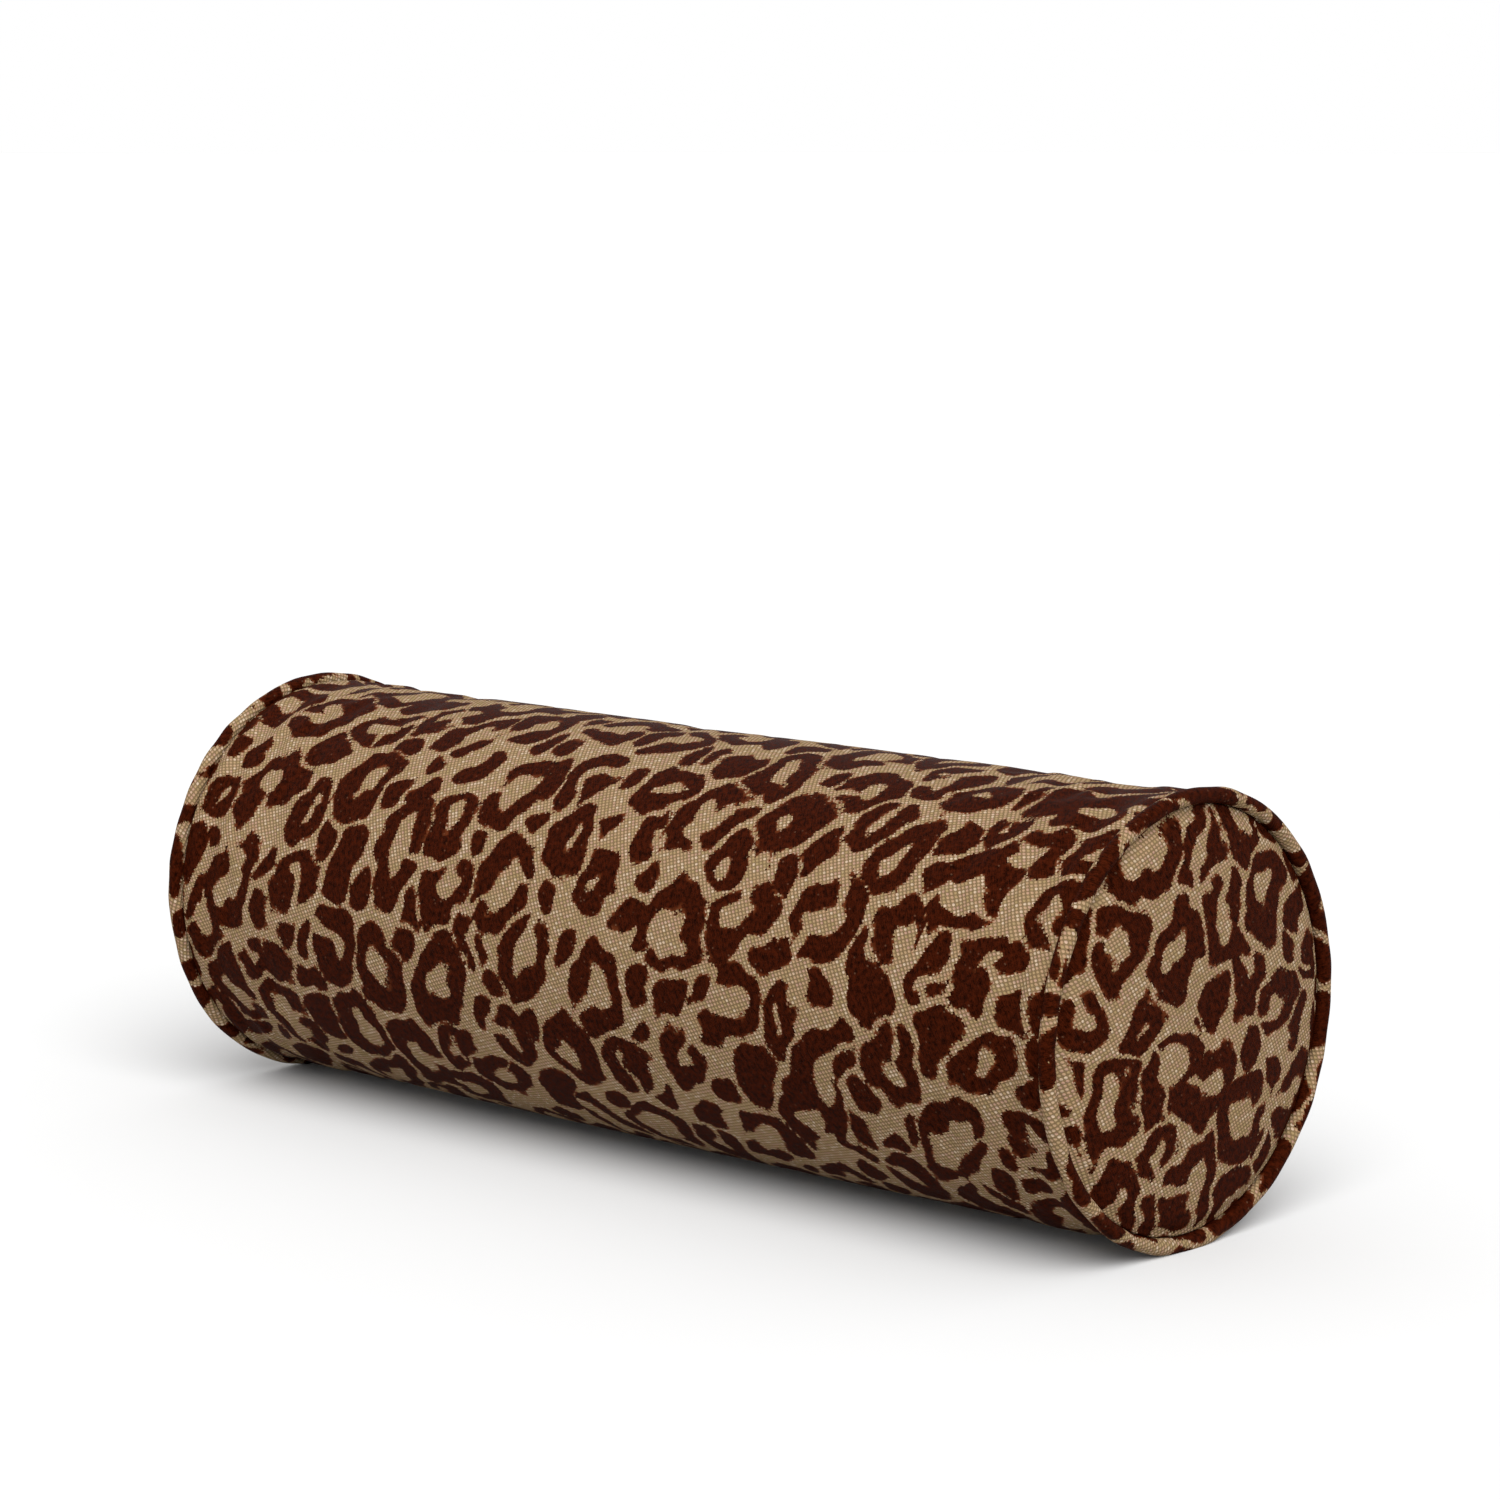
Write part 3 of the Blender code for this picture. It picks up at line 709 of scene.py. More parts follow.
def addEndPanel(side, name, cloth, motifs):
    path, rim = capPath()
    path = np.array(path)
    lengths = path[0, 1] + alongPath(path)
    turns = np.arange(endPanel["around"]) * math.tau / endPanel["around"]

    rings, coarse = endPanel["swellRings"], endPanel["swellAround"]
    discRadius = np.linspace(2 * mm, rim, rings)
    discTurn = np.arange(coarse) * math.tau / coarse
    height = capHeight(discRadius) - endPanel["sink"] * (1 - (discRadius / rim) ** 2)
    disc = np.stack(np.broadcast_arrays(
        (panelRise + height)[:, None],
        discRadius[:, None] * np.cos(discTurn)[None],
        discRadius[:, None] * np.sin(discTurn)[None],
    ), 2)
    pinned = np.zeros((rings, coarse), bool)
    pinned[-1] = True
    moved = swell(f"end_swelling_{name}", disc[::-1], pinned[::-1])[::-1, :, 0]
    atRing = np.clip((path[:, 1] - 2 * mm) / (rim - 2 * mm) * (rings - 1), 0, rings - 1.001)
    rise = spreadOver(spreadOver(moved, atRing, 0), turns / math.tau * coarse, 1, True)
    inside = np.arange(len(path)) < endPanel["rings"]
    rise = rise * inside[:, None] * np.clip((rim - path[:, 1]) / (2 * mm), 0, 1)[:, None]
    sunk = endPanel["sink"] * (1 - np.clip(path[:, 1:] / rim, 0, 1) ** 2)
    rise -= sunk * inside[:, None] * (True)

    grid = roundAxis(side * (path[:, :1] + rise), path[:, 1:], turns[None])
    acrossCloth = side * lengths[:, None] * np.cos(turns)[None] / mm + endPanel["across"]
    alongCloth = lengths[:, None] * np.sin(turns)[None] / mm + endPanel["along"][0 if side > 0 else 1]
    places = np.stack([acrossCloth, alongCloth], 2)
    if side > 0:
        grid, places = grid[::-1], places[::-1]
    mesh = gridMesh(f"end_cloth_{name}", grid, True)
    corners = range(len(path) * endPanel["around"])[::-side]
    mend(mesh, lid=corners[:endPanel["around"]])
    writeCloth(mesh, places, motifs)
    piece = addPiece(f"end_cloth_{name}", mesh, cloth, f"end_panel_{name}")


# Piping

piping = {"around": 460, "round": 26, "pull": 0.12, "flange": 1.1 * mm, "bias": (45, -45)}
rippleRing = 88  # millimetres, the ring that ripples are laid out on


def addPiping(side, name, cloth, motifs):
    def flange(aside, depths):
        return [((-deep - aside) / math.sqrt(2), (aside - deep) / math.sqrt(2)) for deep in depths]

    section = flange(-piping["flange"], (9 * mm, 5.2 * mm))
    section += arcPoints((0, 0), beadRadius, 225 + 17, 225 + 343, piping["round"])
    section += flange(piping["flange"], (5.2 * mm, 9 * mm))
    section = np.array(section)
    lengths = alongPath(section)
    lengths -= lengths[-1] / 2
    turns = np.arange(piping["around"]) * math.tau / piping["around"]
    run = turns * ringRadius / mm
    flat = np.stack(np.meshgrid(run, lengths / mm, indexing="ij"), 2).reshape(-1, 2)
    circle = np.stack([np.cos(turns), np.sin(turns)], 1).repeat(len(section), 0) * rippleRing
    pulled = ripple(circle + flat[:, 1:] * 0.8, 19, 40 + side) * piping["pull"]
    pulled += ripple(circle, 60, 50 + side) * 0.11
    swelled = 1 + pulled.reshape(len(turns), -1) * mm / beadRadius
    across, up = (section[None, :, axis] * swelled for axis in (0, 1))
    grid = roundAxis(side * (beadX + across), ringRadius + up, turns[:, None])
    grid[..., 2] = np.maximum(grid[..., 2], floorPress + 0.02 * mm)
    bias = math.radians(piping["bias"][0 if side > 0 else 1])
    turned = np.array(((math.cos(bias), math.sin(bias)), (-math.sin(bias), math.cos(bias))))
    start = (-230, -230) if side > 0 else (-230, 230)
    places = (flat @ turned + start).reshape(len(turns), -1, 2)
    grid = np.concatenate([grid, grid[:1]])
    last = (np.array([[math.tau * ringRadius / mm, 0]]) @ turned)[0]
    places = np.concatenate([places, places[:1] + last])
    if side > 0:
        grid, places = grid[:, ::-1], places[:, ::-1]
    mesh = gridMesh(f"piping_cloth_{name}", grid)
    writeCloth(mesh, places, motifs)
    piece = addPiece(f"piping_cloth_{name}", mesh, cloth, f"piping_sleeve_{name}")


# Tubes, such as threads and cords, swept along a path


def sweepTube(path, radius, sides, facing):
    path = np.asarray(path, float)
    tangent = np.roll(path, -1, 0) - np.roll(path, 1, 0)
    tangent[0], tangent[-1] = path[1] - path[0], path[-1] - path[-2]
    side = np.cross(tangent, facing)
    side /= np.linalg.norm(side, axis=1, keepdims=True)
    rise = np.cross(side, tangent)
    rise /= np.linalg.norm(rise, axis=1, keepdims=True)
    wide, tall = radius if isinstance(radius, tuple) else (radius, radius)
    turns = np.arange(sides) * math.tau / sides
    ring = side[:, None] * np.cos(turns)[None, :, None] * wide
    ring += rise[:, None] * np.sin(turns)[None, :, None] * tall
    return path[:, None] + ring


class Gather:
    # collects tubes, plates and grids into one mesh
    def __init__(self):
        self.points, self.faces, self.count = [], [], 0

    def add(self, points, faces):
        self.points.append(np.asarray(points).reshape(-1, 3))
        self.faces += [[corner + self.count for corner in face] for face in faces]
        self.count += len(self.points[-1])

    def tube(self, rings, closed=False):
        rows, sides = rings.shape[:2]
        faces = gridFaces(rows, sides, closed, True)
        if not closed:
            count = rows * sides
            faces += [list(range(sides)), list(range(count - 1, count - sides - 1, -1))]
        self.add(rings, faces)

    def sweep(self, *sweeping):
        self.tube(sweepTube(*sweeping))

    def mesh(self, name, bevel=0):
        mesh = bpy.data.meshes.new(name)
        mesh.from_pydata(np.concatenate(self.points), [], self.faces)
        mend(mesh, bevel=bevel)
        return mesh

    def plate(self, outline, low, high):
        # an outline of (x, z) points, given its thickness along y
        bottom = [(x, low, z) for x, z in outline]
        top = [(x, high, z) for x, z in outline]
        count = len(outline)
        faces = [list(range(count)), list(range(2 * count - 1, count - 1, -1))]
        faces += [[i, (i + 1) % count, count + (i + 1) % count, count + i] for i in range(count)]
        self.add(bottom + top, faces)


# Finishes of the zip, the threads and the insert. Yarns: light and dark colour, scale and
# roughness. Woven cloths: light and dark colour, the dark partly painted shade on each yarn's sides, width
# of a yarn, roughness and relief.

yarns = {
    "sewing_thread": ((0.085, 0.042, 0.024), (0.034, 0.015, 0.008), 2400.0, 0.62),
    "cotton_cord": ((0.74, 0.70, 0.61), (0.46, 0.42, 0.34), 1500.0, 0.9),
}
wovens = {
    "zip_tape_weave": ((0.062, 0.030, 0.017), (0.016, 0.007, 0.004), 0.5, 0.72, 0.00016),
    "unbleached_muslin": ((0.78, 0.74, 0.66), (0.50, 0.46, 0.38), 0.55, 0.88, 0.00014),
    "label_satin": ((0.88, 0.88, 0.86), (0.70, 0.70, 0.68), 0.22, 0.45, 0.00004),
}


def yarnFinish(name):
    light, shadow, scale, rough = yarns[name]
    r = Recipe(name)
    place = r.ownPlace()
    broad = r.noise(place, scale * 0.08, 3.0)
    fine = r.noise(place, scale, 3.0, 0.65)
    blend = (broad * 0.4 + fine * 0.6).between(0.3, 0.7)
    r.set({
        "Base Color": r.mix(blend, shadow, light),
        "Roughness": rough + (fine - 0.5) * 0.12,
        "Specular IOR Level": 0.25,
    })
    r.bump(fine, 0.00012)
    return r.material


def wovenFinish(name):
    # yarns side by side, which follow the cloth's own places
    light, shadow, warp, rough, depth = wovens[name]
    r = Recipe(name)
    place = r.attribute("clothPlace", "Vector")
    warpPlace = r.split(place)[0] / warp
    warpCount = warpPlace.floor()
    height = 1 - (((warpPlace - warpCount - 0.5) * 2).math("POWER", 2.0))
    luck = r.chance(r.join(warpCount, 0.0, 1.0))
    broad = r.noise(place, 0.12, 3.0)
    # painted shade: each yarn's sides take the dark colour and its crown the light one, with random tone
    # from noise
    blend = height * 0.65 + luck * 0.2 + broad * 0.25
    r.set({
        "Base Color": r.mix(blend.between(0.2, 0.95), shadow, light),
        "Roughness": rough - height * 0.08,
        "Specular IOR Level": 0.25,
    })
    r.bump(height, depth)
    return r.material


def brassFinish():
    r = Recipe("antique_brass")
    place = r.ownPlace()
    broad = r.noise(place, 240.0, 4.0, 0.6)
    fine = r.noise(place, 2600.0, 3.0, 0.6)
    scratches = r.noise(r.node("Mapping", {}, {0: place, 3: (260, 4200, 4200)}), 1.0, 2.0, 0.4)
    tarnish = broad.between(0.45, 0.95) * 0.6 + fine.between(0.55, 0.85) * 0.2
    r.set({
        "Base Color": r.mix(tarnish, (0.50, 0.335, 0.135), (0.24, 0.15, 0.065)),
        "Metallic": 1 - tarnish * 0.25,
        "Roughness": 0.26 + tarnish * 0.22 + (scratches - 0.5) * 0.18,
    })
    r.bump(fine * 0.4 + scratches * 0.6, 0.00002)
    return r.material


def nylonFinish():
    r = Recipe("zip_nylon")
    place = r.ownPlace()
    broad = r.noise(place, 130.0, 3.0)
    dark, light = (0.020, 0.0085, 0.0045), (0.042, 0.019, 0.010)
    r.set({
        "Base Color": r.mix(broad.between(0.3, 0.7), dark, light),
        "Roughness": 0.34 + (broad - 0.5) * 0.2,
        "Specular IOR Level": 0.4,
    })
    r.bump(r.noise(place, 3000.0, 2.0), 0.00001)
    return r.material


def battingFinish():
    r = Recipe("polyester_batting")
    place = r.ownPlace()
    curl = r.noise(place, 90.0, 4.0, 0.6)
    shift = r.join(curl * 0.02, curl * 0.012, curl * 0.016)
    bent = r.node("VectorMath", {"operation": "ADD"}, {0: place, 1: shift})
    fibres = r.noise(r.node("Mapping", {}, {0: bent, 3: (300, 1500, 1500)}), 1.0, 4.0, 0.7)
    r.set({
        "Base Color": r.mix(fibres.between(0.3, 0.7), (0.70, 0.70, 0.68), (0.90, 0.90, 0.89)),
        "Roughness": 0.92 - fibres * 0.1,
    })
    r.bump(fibres * 0.5 + curl * 0.5, 0.0014)
    return r.material


def foamFinish():
    r = Recipe("cream_foam")
    place = r.ownPlace()
    cells = r.node("TexVoronoi", {"feature": "F1"}, {"Vector": place, "Scale": 900.0})
    broad = r.noise(place, 30.0, 3.0)
    pores = cells.between(0.15, 0.55)
    shade = r.mix(broad, (0.72, 0.63, 0.40), (0.80, 0.73, 0.52))
    # painted shade: the pores, the low parts of the bump, are darkened
    r.set({
        "Base Color": r.mix(pores * 0.45, shade, (0.50, 0.42, 0.25)),
        "Roughness": 0.86 + pores * 0.08,
    })
    r.bump(1 - pores, 0.0004)
    return r.material


# Zip: tapes, coils, stops, slider and its pull tab

zipper = {
    "coilPitch": 1.5 * mm,
    "wire": 0.31 * mm,
    "reach": 0.42 * mm,  # how far a coil's heads pass the middle
    "tapeThickness": 0.6 * mm,
    "tapeSelvedge": 0.12 * mm,
    "tapeWave": 0.06 * mm,
    "stitchPitch": 3.2 * mm,
    "stitchLength": 2.55 * mm,
    "thread": 0.26 * mm,
}


def reaches(low, high):
    # how near the zip's middle line a box comes, and how far from it
    return sorted((abs(low.z - axisHeight), abs(high.z - axisHeight)))


def addTape(side, name, finish):
    low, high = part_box(f"zip_tape_{name}")
    near, far = reaches(low, high)
    outer, thickness, wave = high.y, zipper["tapeThickness"], zipper["tapeWave"]
    x = np.linspace(low.x, high.x, 417)
    width = np.linspace(math.asin((near - 0.6 * mm) / outer), math.asin(min(1, far / outer)), 19)
    loop, places = [], []
    for turn in width:
        drop = zipper["tapeSelvedge"] if turn in (width[0], width[-1]) else 0
        loop.append((outer - drop, turn))
        places.append(turn * outer / mm)
    for turn in width[::-1]:
        loop.append((outer - thickness, turn))
        places.append((turn * outer + thickness) / mm)
    loop = np.array(loop + loop[:1])
    places = np.array(places + places[:1])
    radius, turn = loop[:, 0], side * loop[:, 1]
    waves = wave * np.sin(x / mm * math.tau / 46)[:, None] * (radius > outer - 0.3 * mm)[None]
    grid = roundAxis(x[:, None], radius[None] + waves - wave, turn[None])
    if side > 0:
        grid, places = grid[:, ::-1], places[::-1]
    mesh = gridMesh(f"tape_{name}", grid)
    writeVectors(mesh, "clothPlace", np.stack(np.broadcast_arrays(x[:, None] / mm, places[None]), 2))
    mend(mesh, weld=weldReach)
    piece = addPiece(f"zip_tape_woven_{name}", mesh, finish, f"zip_tape_{name}")
    width = (width[-1] - width[0]) * outer


def addCoil(side, name, finish, threadFinish):
    low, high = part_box(f"zip_coil_{name}")
    outer = reaches(low, high)[1]
    wire, pitch = zipper["wire"], zipper["coilPitch"]
    middle = (outer - wire - zipper["reach"]) / 2
    half = (outer - wire + zipper["reach"]) / 2
    tall = (high.y - low.y) / 2 - wire
    turns = int((high.x - low.x - 2 * wire - pitch / 2) / pitch)
    steps = 14
    turn = np.arange(turns * steps + 1) / steps * math.tau
    start = low.x + wire + (pitch / 2 if side < 0 else 0)
    cosine, sine = np.cos(turn), np.sin(turn)
    wide = np.sign(cosine) * np.abs(cosine) ** 0.75 * half
    rise = np.sign(sine) * np.abs(sine) ** 0.7 * tall
    z = axisHeight + side * (middle - wide)
    path = np.stack([start + turn / math.tau * pitch, (low.y + high.y) / 2 + rise, z], 1)
    gather = Gather()
    gather.sweep(path, wire, 7, (1, 0, 0))
    addPiece(f"zip_coil_wound_{name}", gather.mesh(f"coil_{name}"), finish, f"zip_coil_{name}")

    # the row of stitches that holds the coil to its tape
    gather = Gather()
    z = axisHeight + side * (outer - 0.95 * mm)
    foot, shoulder, top = low.y + 0.25 * mm, high.y - 0.12 * mm, high.y + 0.02 * mm
    stitch = (
        (-0.62, foot, 0.1), (-0.50, shoulder, 0.05), (0, top, 0),
        (0.50, shoulder, -0.05), (0.62, foot, -0.1),
    )
    for number in range(int((high.x - low.x) / pitch) - 1):
        x = low.x + pitch * (number + 0.75) + (pitch / 2 if side < 0 else 0)
        path = [(x + along * mm, y, z + side * slant * mm) for along, y, slant in stitch]
        gather.sweep(path, 0.14 * mm, 5, (0, 0, 1))
    addPiece(f"zip_coil_stitches_{name}", gather.mesh(f"coil_stitches_{name}"), threadFinish)


def addStops(finish):
    for name in ("zip_top_stop_upper", "zip_top_stop_lower", "zip_bottom_stop"):
        low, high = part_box(name)
        gather = Gather()
        inset = 0.35 * mm
        outline = [
            (low.x, low.z + inset), (low.x + inset, low.z),
            (high.x - inset, low.z), (high.x, low.z + inset),
            (high.x, high.z - inset), (high.x - inset, high.z),
            (low.x + inset, high.z), (low.x, high.z - inset),
        ]
        gather.plate(outline, low.y, high.y)
        middle = (low.x + high.x) / 2
        groove = 0.30 * mm
        for x in (middle - 0.55 * mm, middle + 0.55 * mm):
            heights = np.linspace(low.z + 0.5 * mm, high.z - 0.5 * mm, 4)
            path = [(x, high.y - 0.10 * mm, z) for z in heights]
            gather.sweep(path, groove, 8, (1, 0, 0))
        addPiece(f"{name}_pressed", gather.mesh(name, 0.22 * mm), finish, name)


slider = {
    # outlines in millimetres, from the slider's middle
    "plate": (
        (4.5, 1.4), (4.35, 2.6), (3.6, 3.45), (2.2, 3.7),
        (0.2, 3.68), (-2.4, 3.42), (-3.9, 3.25), (-4.5, 2.5),
    ),
    "flange": (
        (3.3, 3.40), (2.2, 3.66), (0.2, 3.64), (-2.4, 3.38),
        (-4.0, 3.22), (-4.0, 2.92), (-2.4, 2.92), (2.4, 3.0),
    ),
    "wedge": ((4.2, -0.45), (4.2, 0.45), (3.4, 0.6), (2.2, 0.5), (1.6, 0.0), (2.2, -0.5), (3.4, -0.6)),
    "halfWidth": 3.7,
    "thickness": 0.8 * mm,
    "crown": (0.88 * mm, 0.36 * mm),
}


def addSlider(finish):
    low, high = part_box("zip_slider")
    coilLow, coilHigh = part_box("zip_coil_upper")
    middle = (low.x + high.x) / 2
    wide = (high.z - low.z) / 2
    plateTop = coilHigh.y + 0.3 * mm
    thickness = slider["thickness"]

    def outlined(name, side, stretch):
        return [(middle + x * mm, axisHeight + side * z * stretch) for x, z in slider[name]]

    stretch = wide / slider["halfWidth"]
    outline = outlined("plate", 1, stretch) + outlined("plate", -1, stretch)[::-1]
    gather = Gather()
    gather.plate(outline, low.y, low.y + thickness)
    gather.plate(outline, plateTop, plateTop + thickness)
    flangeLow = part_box("zip_tape_upper")[1].y + 0.3 * mm
    for side in (1, -1):
        gather.plate(outlined("flange", side, stretch), flangeLow, plateTop + 0.4 * mm)
    # the rows of the coil stay joined, so the wedge leaves them room
    wedge = outlined("wedge", 1, mm)
    gather.plate(wedge, low.y + 0.3 * mm, coilLow.y - 0.1 * mm)
    gather.plate(wedge, coilHigh.y + 0.15 * mm, plateTop + 0.3 * mm)
    mesh = gather.mesh("slider_body", 0.16 * mm)

    # the crown is an arch that the tab's bar turns under
    base = plateTop + 0.45 * mm
    tall = high.y - base - 0.36 * mm
    path = []
    for turn in np.linspace(0, math.pi, 25):
        along = math.copysign(abs(math.cos(turn)) ** 0.55, math.cos(turn))
        path.append((middle - 2.78 * mm * along, base + tall * math.sin(turn) ** 0.45, axisHeight))
    arch = Gather()
    arch.sweep(path, slider["crown"], 14, (0, 1e-3, 1))
    addPiece("zip_slider_cast", mesh, finish, "zip_slider", "zip_slider")
    addPiece("zip_slider_crown", arch.mesh("slider_crown"), finish, body="zip_slider")


def addTab(finish):
    low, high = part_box("zip_pull_tab")
    wide = (high.z - low.z) / 2
    bar = (high.y - low.y) / 2
    hinge = high.x - bar

    def rounded(startX, endX, half, corner, steps):
        points = []
        corners = (
            (startX - corner, half - corner, 0), (endX + corner, half - corner, 90),
            (endX + corner, corner - half, 180), (startX - corner, corner - half, 270),
        )
        for x, z, first in corners:
            for turn in np.radians(np.linspace(first, first + 90, steps)):
                points.append((x + corner * math.cos(turn), axisHeight + z + corner * math.sin(turn)))
        return points

    def ringPlate(outer, inner, bottom, top, name, bevel):
        bm = bmesh.new()
        loops = []
        for outline in (outer, inner):
            verts = [bm.verts.new((x, bottom, z)) for x, z in outline]
            loops += [bm.edges.new((verts[i], verts[i - 1])) for i in range(len(verts))]
        filled = bmesh.ops.triangle_fill(bm, use_beauty=True, edges=loops)["geom"]
        faces = [part for part in filled if isinstance(part, bmesh.types.BMFace)]
        raised = bmesh.ops.extrude_face_region(bm, geom=faces)["geom"]
        for vert in (v for v in raised if isinstance(v, bmesh.types.BMVert)):
            vert.co.y = top
        roundEdges(bm, bevel, 1.0)
        mesh = bpy.data.meshes.new(name)
        bm.to_mesh(mesh)
        bm.free()
        return mesh

    outer = rounded(high.x, low.x, wide, 2.2 * mm, 9)
    outer = [(min(x, high.x), z) for x, z in outer]
    slot = rounded(hinge - bar, hinge - 4.3 * mm, 1.6 * mm, 0.7 * mm, 5)
    mesh = ringPlate(outer, slot, low.y, high.y, "tab_plate", 0.2 * mm)
    addPiece("zip_tab_plate", mesh, finish, "zip_pull_tab", "zip_pull_tab")

    # a raised border on the grip
    grip = rounded(hinge - 7.4 * mm, low.x + 1.1 * mm, wide - 0.9 * mm, 1.4 * mm, 7)
    hollow = rounded(hinge - 8.1 * mm, low.x + 1.8 * mm, wide - 1.6 * mm, 0.9 * mm, 7)
    mesh = ringPlate(grip, hollow, high.y - 0.1 * mm, high.y + 0.16 * mm, "tab_border", 0.1 * mm)
    addPiece("zip_tab_border", mesh, finish, body="zip_pull_tab")


def addStitching(finish, clothRadius):
    for side, name in bothRows:
        low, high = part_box(f"zip_stitching_{name}")
        line = math.asin(sum(reaches(low, high)) / 2 / barrelRadius)
        gather = Gather()
        pitch = zipper["stitchPitch"]
        count = int((high.x - low.x) / pitch)
        for number in range(count):
            x = low.x + (number + 0.5) * pitch
            half = zipper["stitchLength"] / 2
            radius = clothRadius(x, side) + 0.17 * mm
            turn = side * (line + 0.00035 * math.sin(number * 2.1))
            share = np.linspace(-1, 1, 9)
            path = roundAxis(x + half * share, radius - 0.55 * mm * np.abs(share) ** 5, turn)
            gather.sweep(path, zipper["thread"], 8, (0, 0, 1))
        mesh = gather.mesh(f"stitches_{name}")
        addPiece(f"zip_stitches_{name}", mesh, finish, f"zip_stitching_{name}")


def addBartacks(finish):
    for _, name in bothEnds:
        low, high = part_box(f"zip_bartack_{name}")
        reach = (high.z - low.z) / 2 / barrelRadius
        radius = barrelRadius + 0.28 * mm
        gather = Gather()
        turns = np.linspace(-reach, reach, 59)
        ends = np.array((low.x + 0.2 * mm, high.x - 0.2 * mm))
        path = roundAxis(ends[np.arange(59) % 2], radius + 0.14 * mm, turns)
        dense = spreadOver(path, np.linspace(0, len(path) - 1.001, 58 * 6), 0)
        gather.sweep(dense, 0.19 * mm, 6, (0, 1, 0))
        for share in (0.3, 0.7):
            turns = np.linspace(-reach * 0.96, reach * 0.96, 20)
            path = roundAxis(low.x + (high.x - low.x) * share, radius - 0.1 * mm, turns)
            gather.sweep(path, 0.2 * mm, 6, (1, 0, 0))
        mesh = gather.mesh(f"bartack_{name}")
        addPiece(f"zip_bartack_sewn_{name}", mesh, finish, f"zip_bartack_{name}")


# Insert: foam core, batting and casing

insert = {
    # slot, fill, points round it and how much its surface is softened
    "casing": ("insert_casing", 0.95, 240, 0.45 * mm),
    "pad": ("batting", 0.9, 160, 0.8 * mm),
    "roll": ("batting", 0.9, 200, 0.0),
    "core": ("foam", 1.0, 200, 0.2 * mm),
    "hole": 0.3 * mm,
}
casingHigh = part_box("insert_barrel_casing")[1]
insertRadius = casingHigh.z - axisHeight
zipDent = insertRadius - casingHigh.y


def turned(name, outline, around, soften, seed):
    # an outline of (x, radius) points turned round the axis, softened, and pressed by the zip
    path = np.array(outline)
    turns = np.arange(around) * math.tau / around
    lengths = alongPath(path) / mm
    flat = np.stack(np.meshgrid(lengths, turns * insertRadius / mm, indexing="ij"), 2).reshape(-1, 2)
    angle = flat[:, 1] / insertRadius * mm
    circle = np.stack([np.cos(angle), np.sin(angle)], 1) * rippleRing + flat[:, :1] * (0.8, 0.6)
    dip = soften * (0.5 + 0.25 * ripple(circle, 24, seed)).clip(0, 1).reshape(len(path), -1)
    shrink = 1 - dip / insertRadius
    towardsEnd = np.abs(np.clip(path[:, :1] / 0.25, -1, 1)) ** 8
    x = path[:, :1] - np.sign(path[:, :1]) * dip * towardsEnd
    y = path[:, 1:] * shrink * np.cos(turns)
    z = path[:, 1:] * shrink * np.sin(turns)
    y = np.minimum(y, np.hypot(y, z) - zipDent)
    mesh = gridMesh(name, np.stack([x, y, z + axisHeight], 2), True)
    writeVectors(mesh, "clothPlace", flat.reshape(len(path), -1, 2))
    mend(mesh, weld=weldReach)
    return mesh


def roundedOutline(corners, radius, step):
    # a line through the corners, with each corner rounded and long runs divided
    points = [np.array(corners[0], float)]
    for before, corner, after in zip(corners, corners[1:], corners[2:]):
        before, corner, after = (np.array(p, float) for p in (before, corner, after))
        into = (before - corner) / np.linalg.norm(before - corner)
        out = (after - corner) / np.linalg.norm(after - corner)
        reach = min(radius, np.linalg.norm(before - corner) * 0.45, np.linalg.norm(after - corner) * 0.45)
        for share in np.linspace(0, 1, 6):
            points.append(corner + into * reach * (1 - share) ** 2 + out * reach * share**2)
    points.append(np.array(corners[-1], float))
    dense = [points[0]]
    for start, end in zip(points, points[1:]):
        count = max(1, int(np.linalg.norm(end - start) / step))
        dense += [start + (end - start) * (k + 1) / count for k in range(count)]
    return dense


def addTurned(name, node, kind, finish, corners, rounding, step, seed):
    slot, fill, around, soften = insert[kind]
    outline = roundedOutline(corners, rounding * mm, step * mm)
    piece = addPiece(name, turned(name, outline, around, soften, seed), finish, node)


def addInsert(casingCloth, batting, foam):
    endLow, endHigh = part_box("insert_end_casing_right")
    face, rim = endHigh.x, endHigh.z - axisHeight
    chamfer = insertRadius - rim - 0.9 * mm
    hole = insert["hole"]
    corners = [
        (-face, insertRadius - chamfer), (-face + chamfer, insertRadius),
        (face - chamfer, insertRadius), (face, insertRadius - chamfer),
    ]
    addTurned("insert_casing_tube", "insert_barrel_casing", "casing", casingCloth, corners, 9, 3, 61)

    for side, name in bothEnds:
        corners = [(side * face, hole), (side * face, rim - 0.5 * mm), (side * endLow.x, rim)]
        node = f"insert_end_casing_{name}"
        addTurned(f"insert_casing_end_{name}", node, "casing", casingCloth, corners, 1, 3, 62)

        node = f"batting_end_pad_{name}"
        low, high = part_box(node)
        near, far = (low.x, high.x)[::side]
        padRadius = high.z - axisHeight
        corners = [(near, hole), (near, padRadius), (far, padRadius - 9 * mm), (far, hole)]
        addTurned(f"batting_pad_{name}", node, "pad", batting, corners, 4, 3, 63)

    low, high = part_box("batting_wrap")
    coreLow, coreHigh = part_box("foam_core")
    wrapRadius, coreRadius = high.z - axisHeight, coreHigh.z - axisHeight
    hollow, slope = coreRadius + 0.3 * mm, 9 * mm
    corners = [
        (0, hollow), (high.x - 0.5 * mm, hollow), (high.x, hollow + 1.5 * mm),
        (high.x - slope, wrapRadius), (low.x + slope, wrapRadius), (low.x, hollow + 1.5 * mm),
        (low.x + 0.5 * mm, hollow), (0, hollow),
    ]
    addTurned("batting_roll", "batting_wrap", "roll", batting, corners, 3, 4, 64)

    corners = [(coreLow.x, hole), (coreLow.x, coreRadius), (coreHigh.x, coreRadius), (coreHigh.x, hole)]
    addTurned("foam_core_cut", "foam_core", "core", foam, corners, 3, 5, 65)


# Piping cords: three cotton strands, twisted

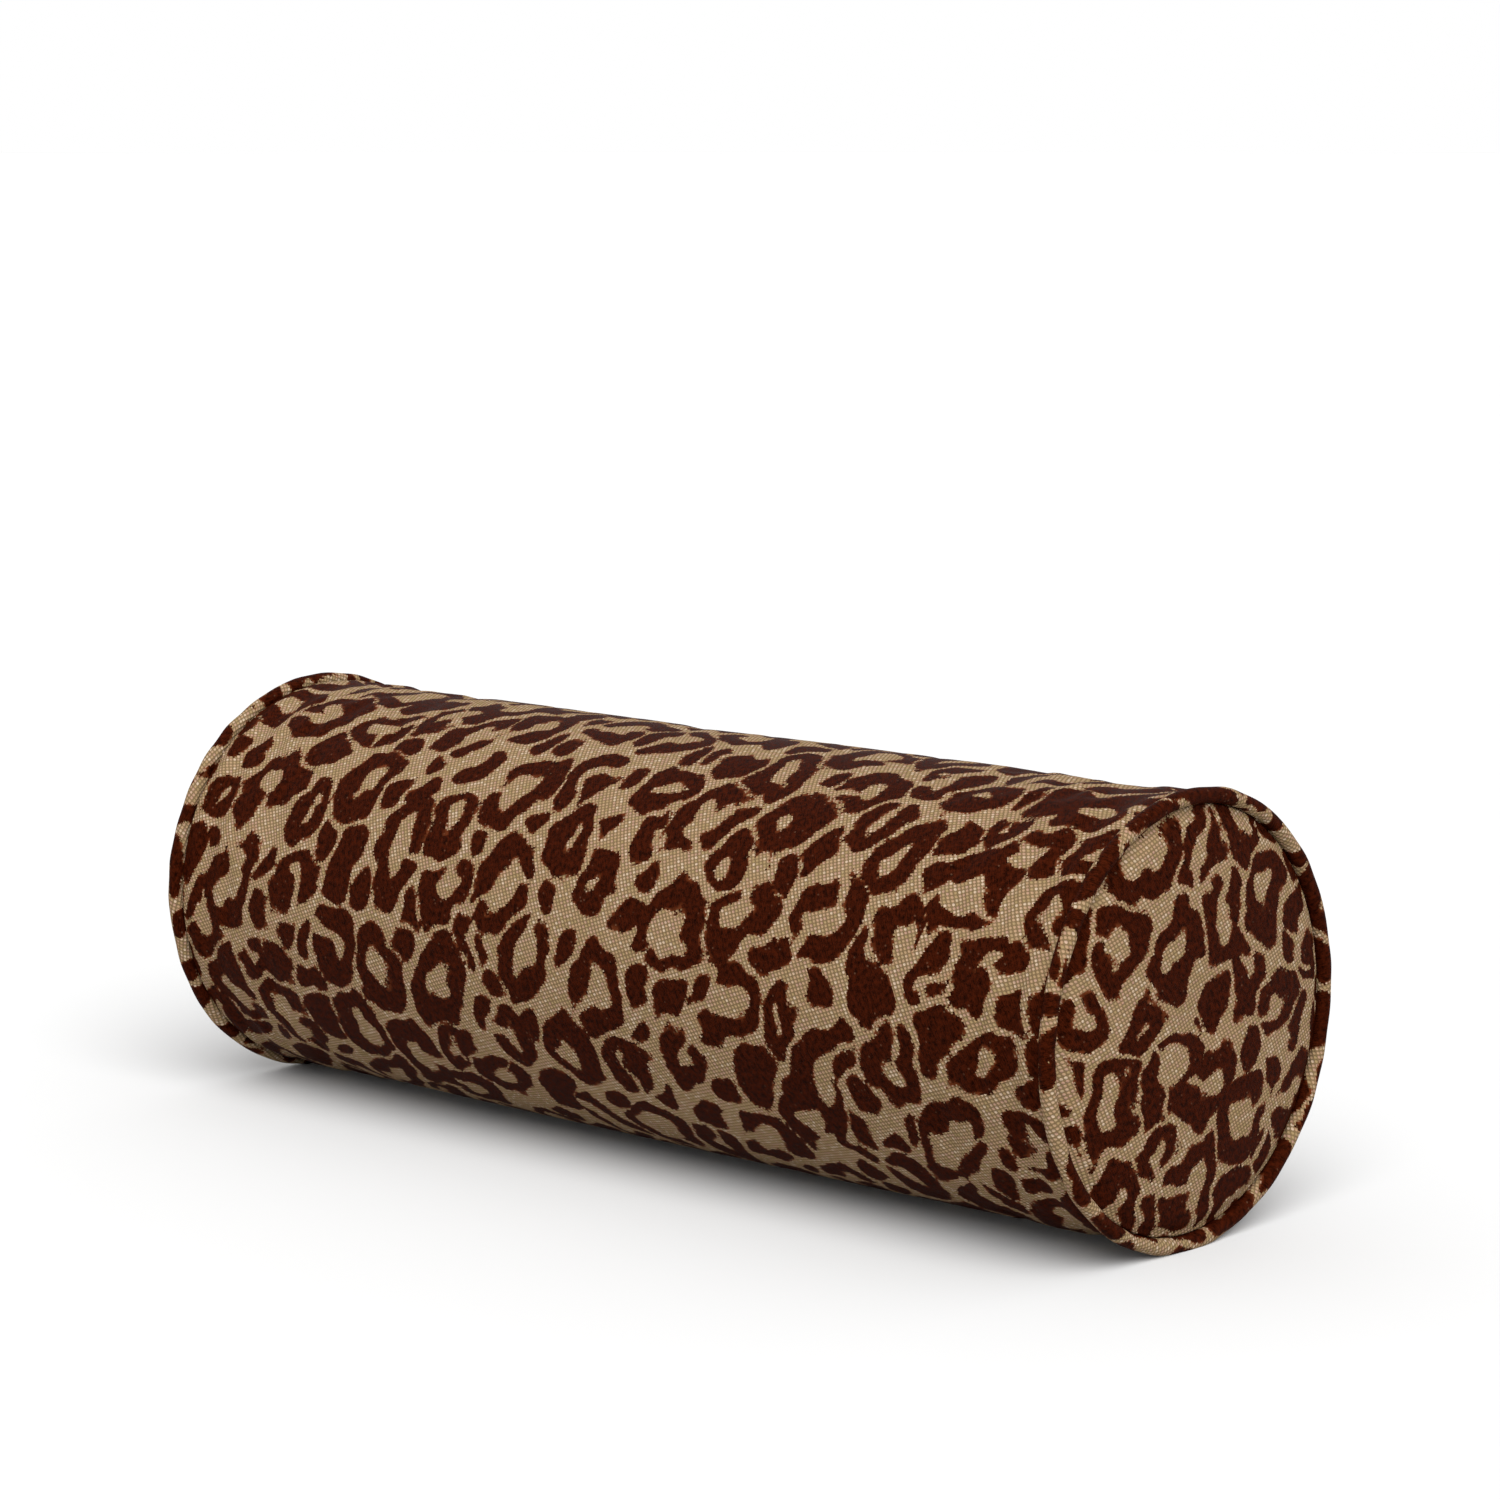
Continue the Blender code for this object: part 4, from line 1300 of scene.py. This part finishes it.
cord = {"strands": 3, "twists": 46, "around": 620, "round": 15, "groove": 0.16}


def addCords(finish):
    turns = np.arange(cord["around"]) * math.tau / cord["around"]
    section = np.arange(cord["round"]) * math.tau / cord["round"]
    radius = (cordHigh.x - cordLow.x) / 2
    lobes = np.abs(np.cos((section[None] + cord["twists"] * turns[:, None]) * cord["strands"] / 2))
    size = radius * (1 - cord["groove"] * (1 - lobes))
    away = ringRadius + size * np.cos(section)[None]
    for side, name in bothEnds:
        x = side * (beadX + size * np.sin(section)[None])
        z = np.maximum(away * np.sin(turns)[:, None] + axisHeight, cordLow.z)
        gather = Gather()
        gather.tube(np.stack([x, away * np.cos(turns)[:, None], z], 2), closed=True)
        mesh = gather.mesh(f"cotton_{name}")
        addPiece(f"piping_cotton_{name}", mesh, finish, f"piping_cord_{name}")


# Care label: a blank satin ribbon with a turned hem, sewn in beside the zip


def addLabel(finish):
    low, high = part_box("care_label")
    width = np.linspace(low.z, high.z, 40)
    along = np.linspace(low.x, high.x, 26)
    loose = (np.linspace(0, 1, 26) ** 1.5)[:, None]
    curl = 0.22 * mm * np.sin((width - axisHeight) / mm * 0.42)[None] * loose
    top = np.stack(np.broadcast_arrays(along[:, None], high.y - 0.25 * mm + curl, width[None]), 2)
    thickness = np.full((1, 40, 1), 0.2 * mm)
    thickness[:, [0, -1]] = 0
    bottom = top - thickness * np.array((0, 1, 0))
    grid = np.concatenate([top, bottom[::-1], top[:1]])
    places = np.concatenate([np.linspace(0, 16, 26), 16 + np.linspace(0, 16, 26), [0]])
    mesh = gridMesh("label_ribbon", grid)
    writeVectors(mesh, "clothPlace", np.stack(np.broadcast_arrays(places[:, None], (width / mm)[None]), 2))
    mend(mesh, weld=weldReach)
    piece = addPiece("care_label_ribbon", mesh, finish, "care_label")


def main():
    addCamera()
    addStudio()
    motifs = drawMotifs()
    cloth = leopardCloth()
    clothRadius = addBarrel(cloth, motifs)
    for side, name in bothEnds:
        addEndPanel(side, name, cloth, motifs)
        addPiping(side, name, cloth, motifs)
    print("cover done")

    thread, tape = yarnFinish("sewing_thread"), wovenFinish("zip_tape_weave")
    brass, nylon = brassFinish(), nylonFinish()
    for side, name in bothRows:
        addTape(side, name, tape)
        addCoil(side, name, nylon, thread)
    addStops(brass)
    addSlider(brass)
    addTab(brass)
    addStitching(thread, clothRadius)
    addBartacks(thread)
    print("zip done")

    muslin, satin = wovenFinish("unbleached_muslin"), wovenFinish("label_satin")
    addInsert(muslin, battingFinish(), foamFinish())
    addCords(yarnFinish("cotton_cord"))
    addLabel(satin)
    print("insert done")


main()
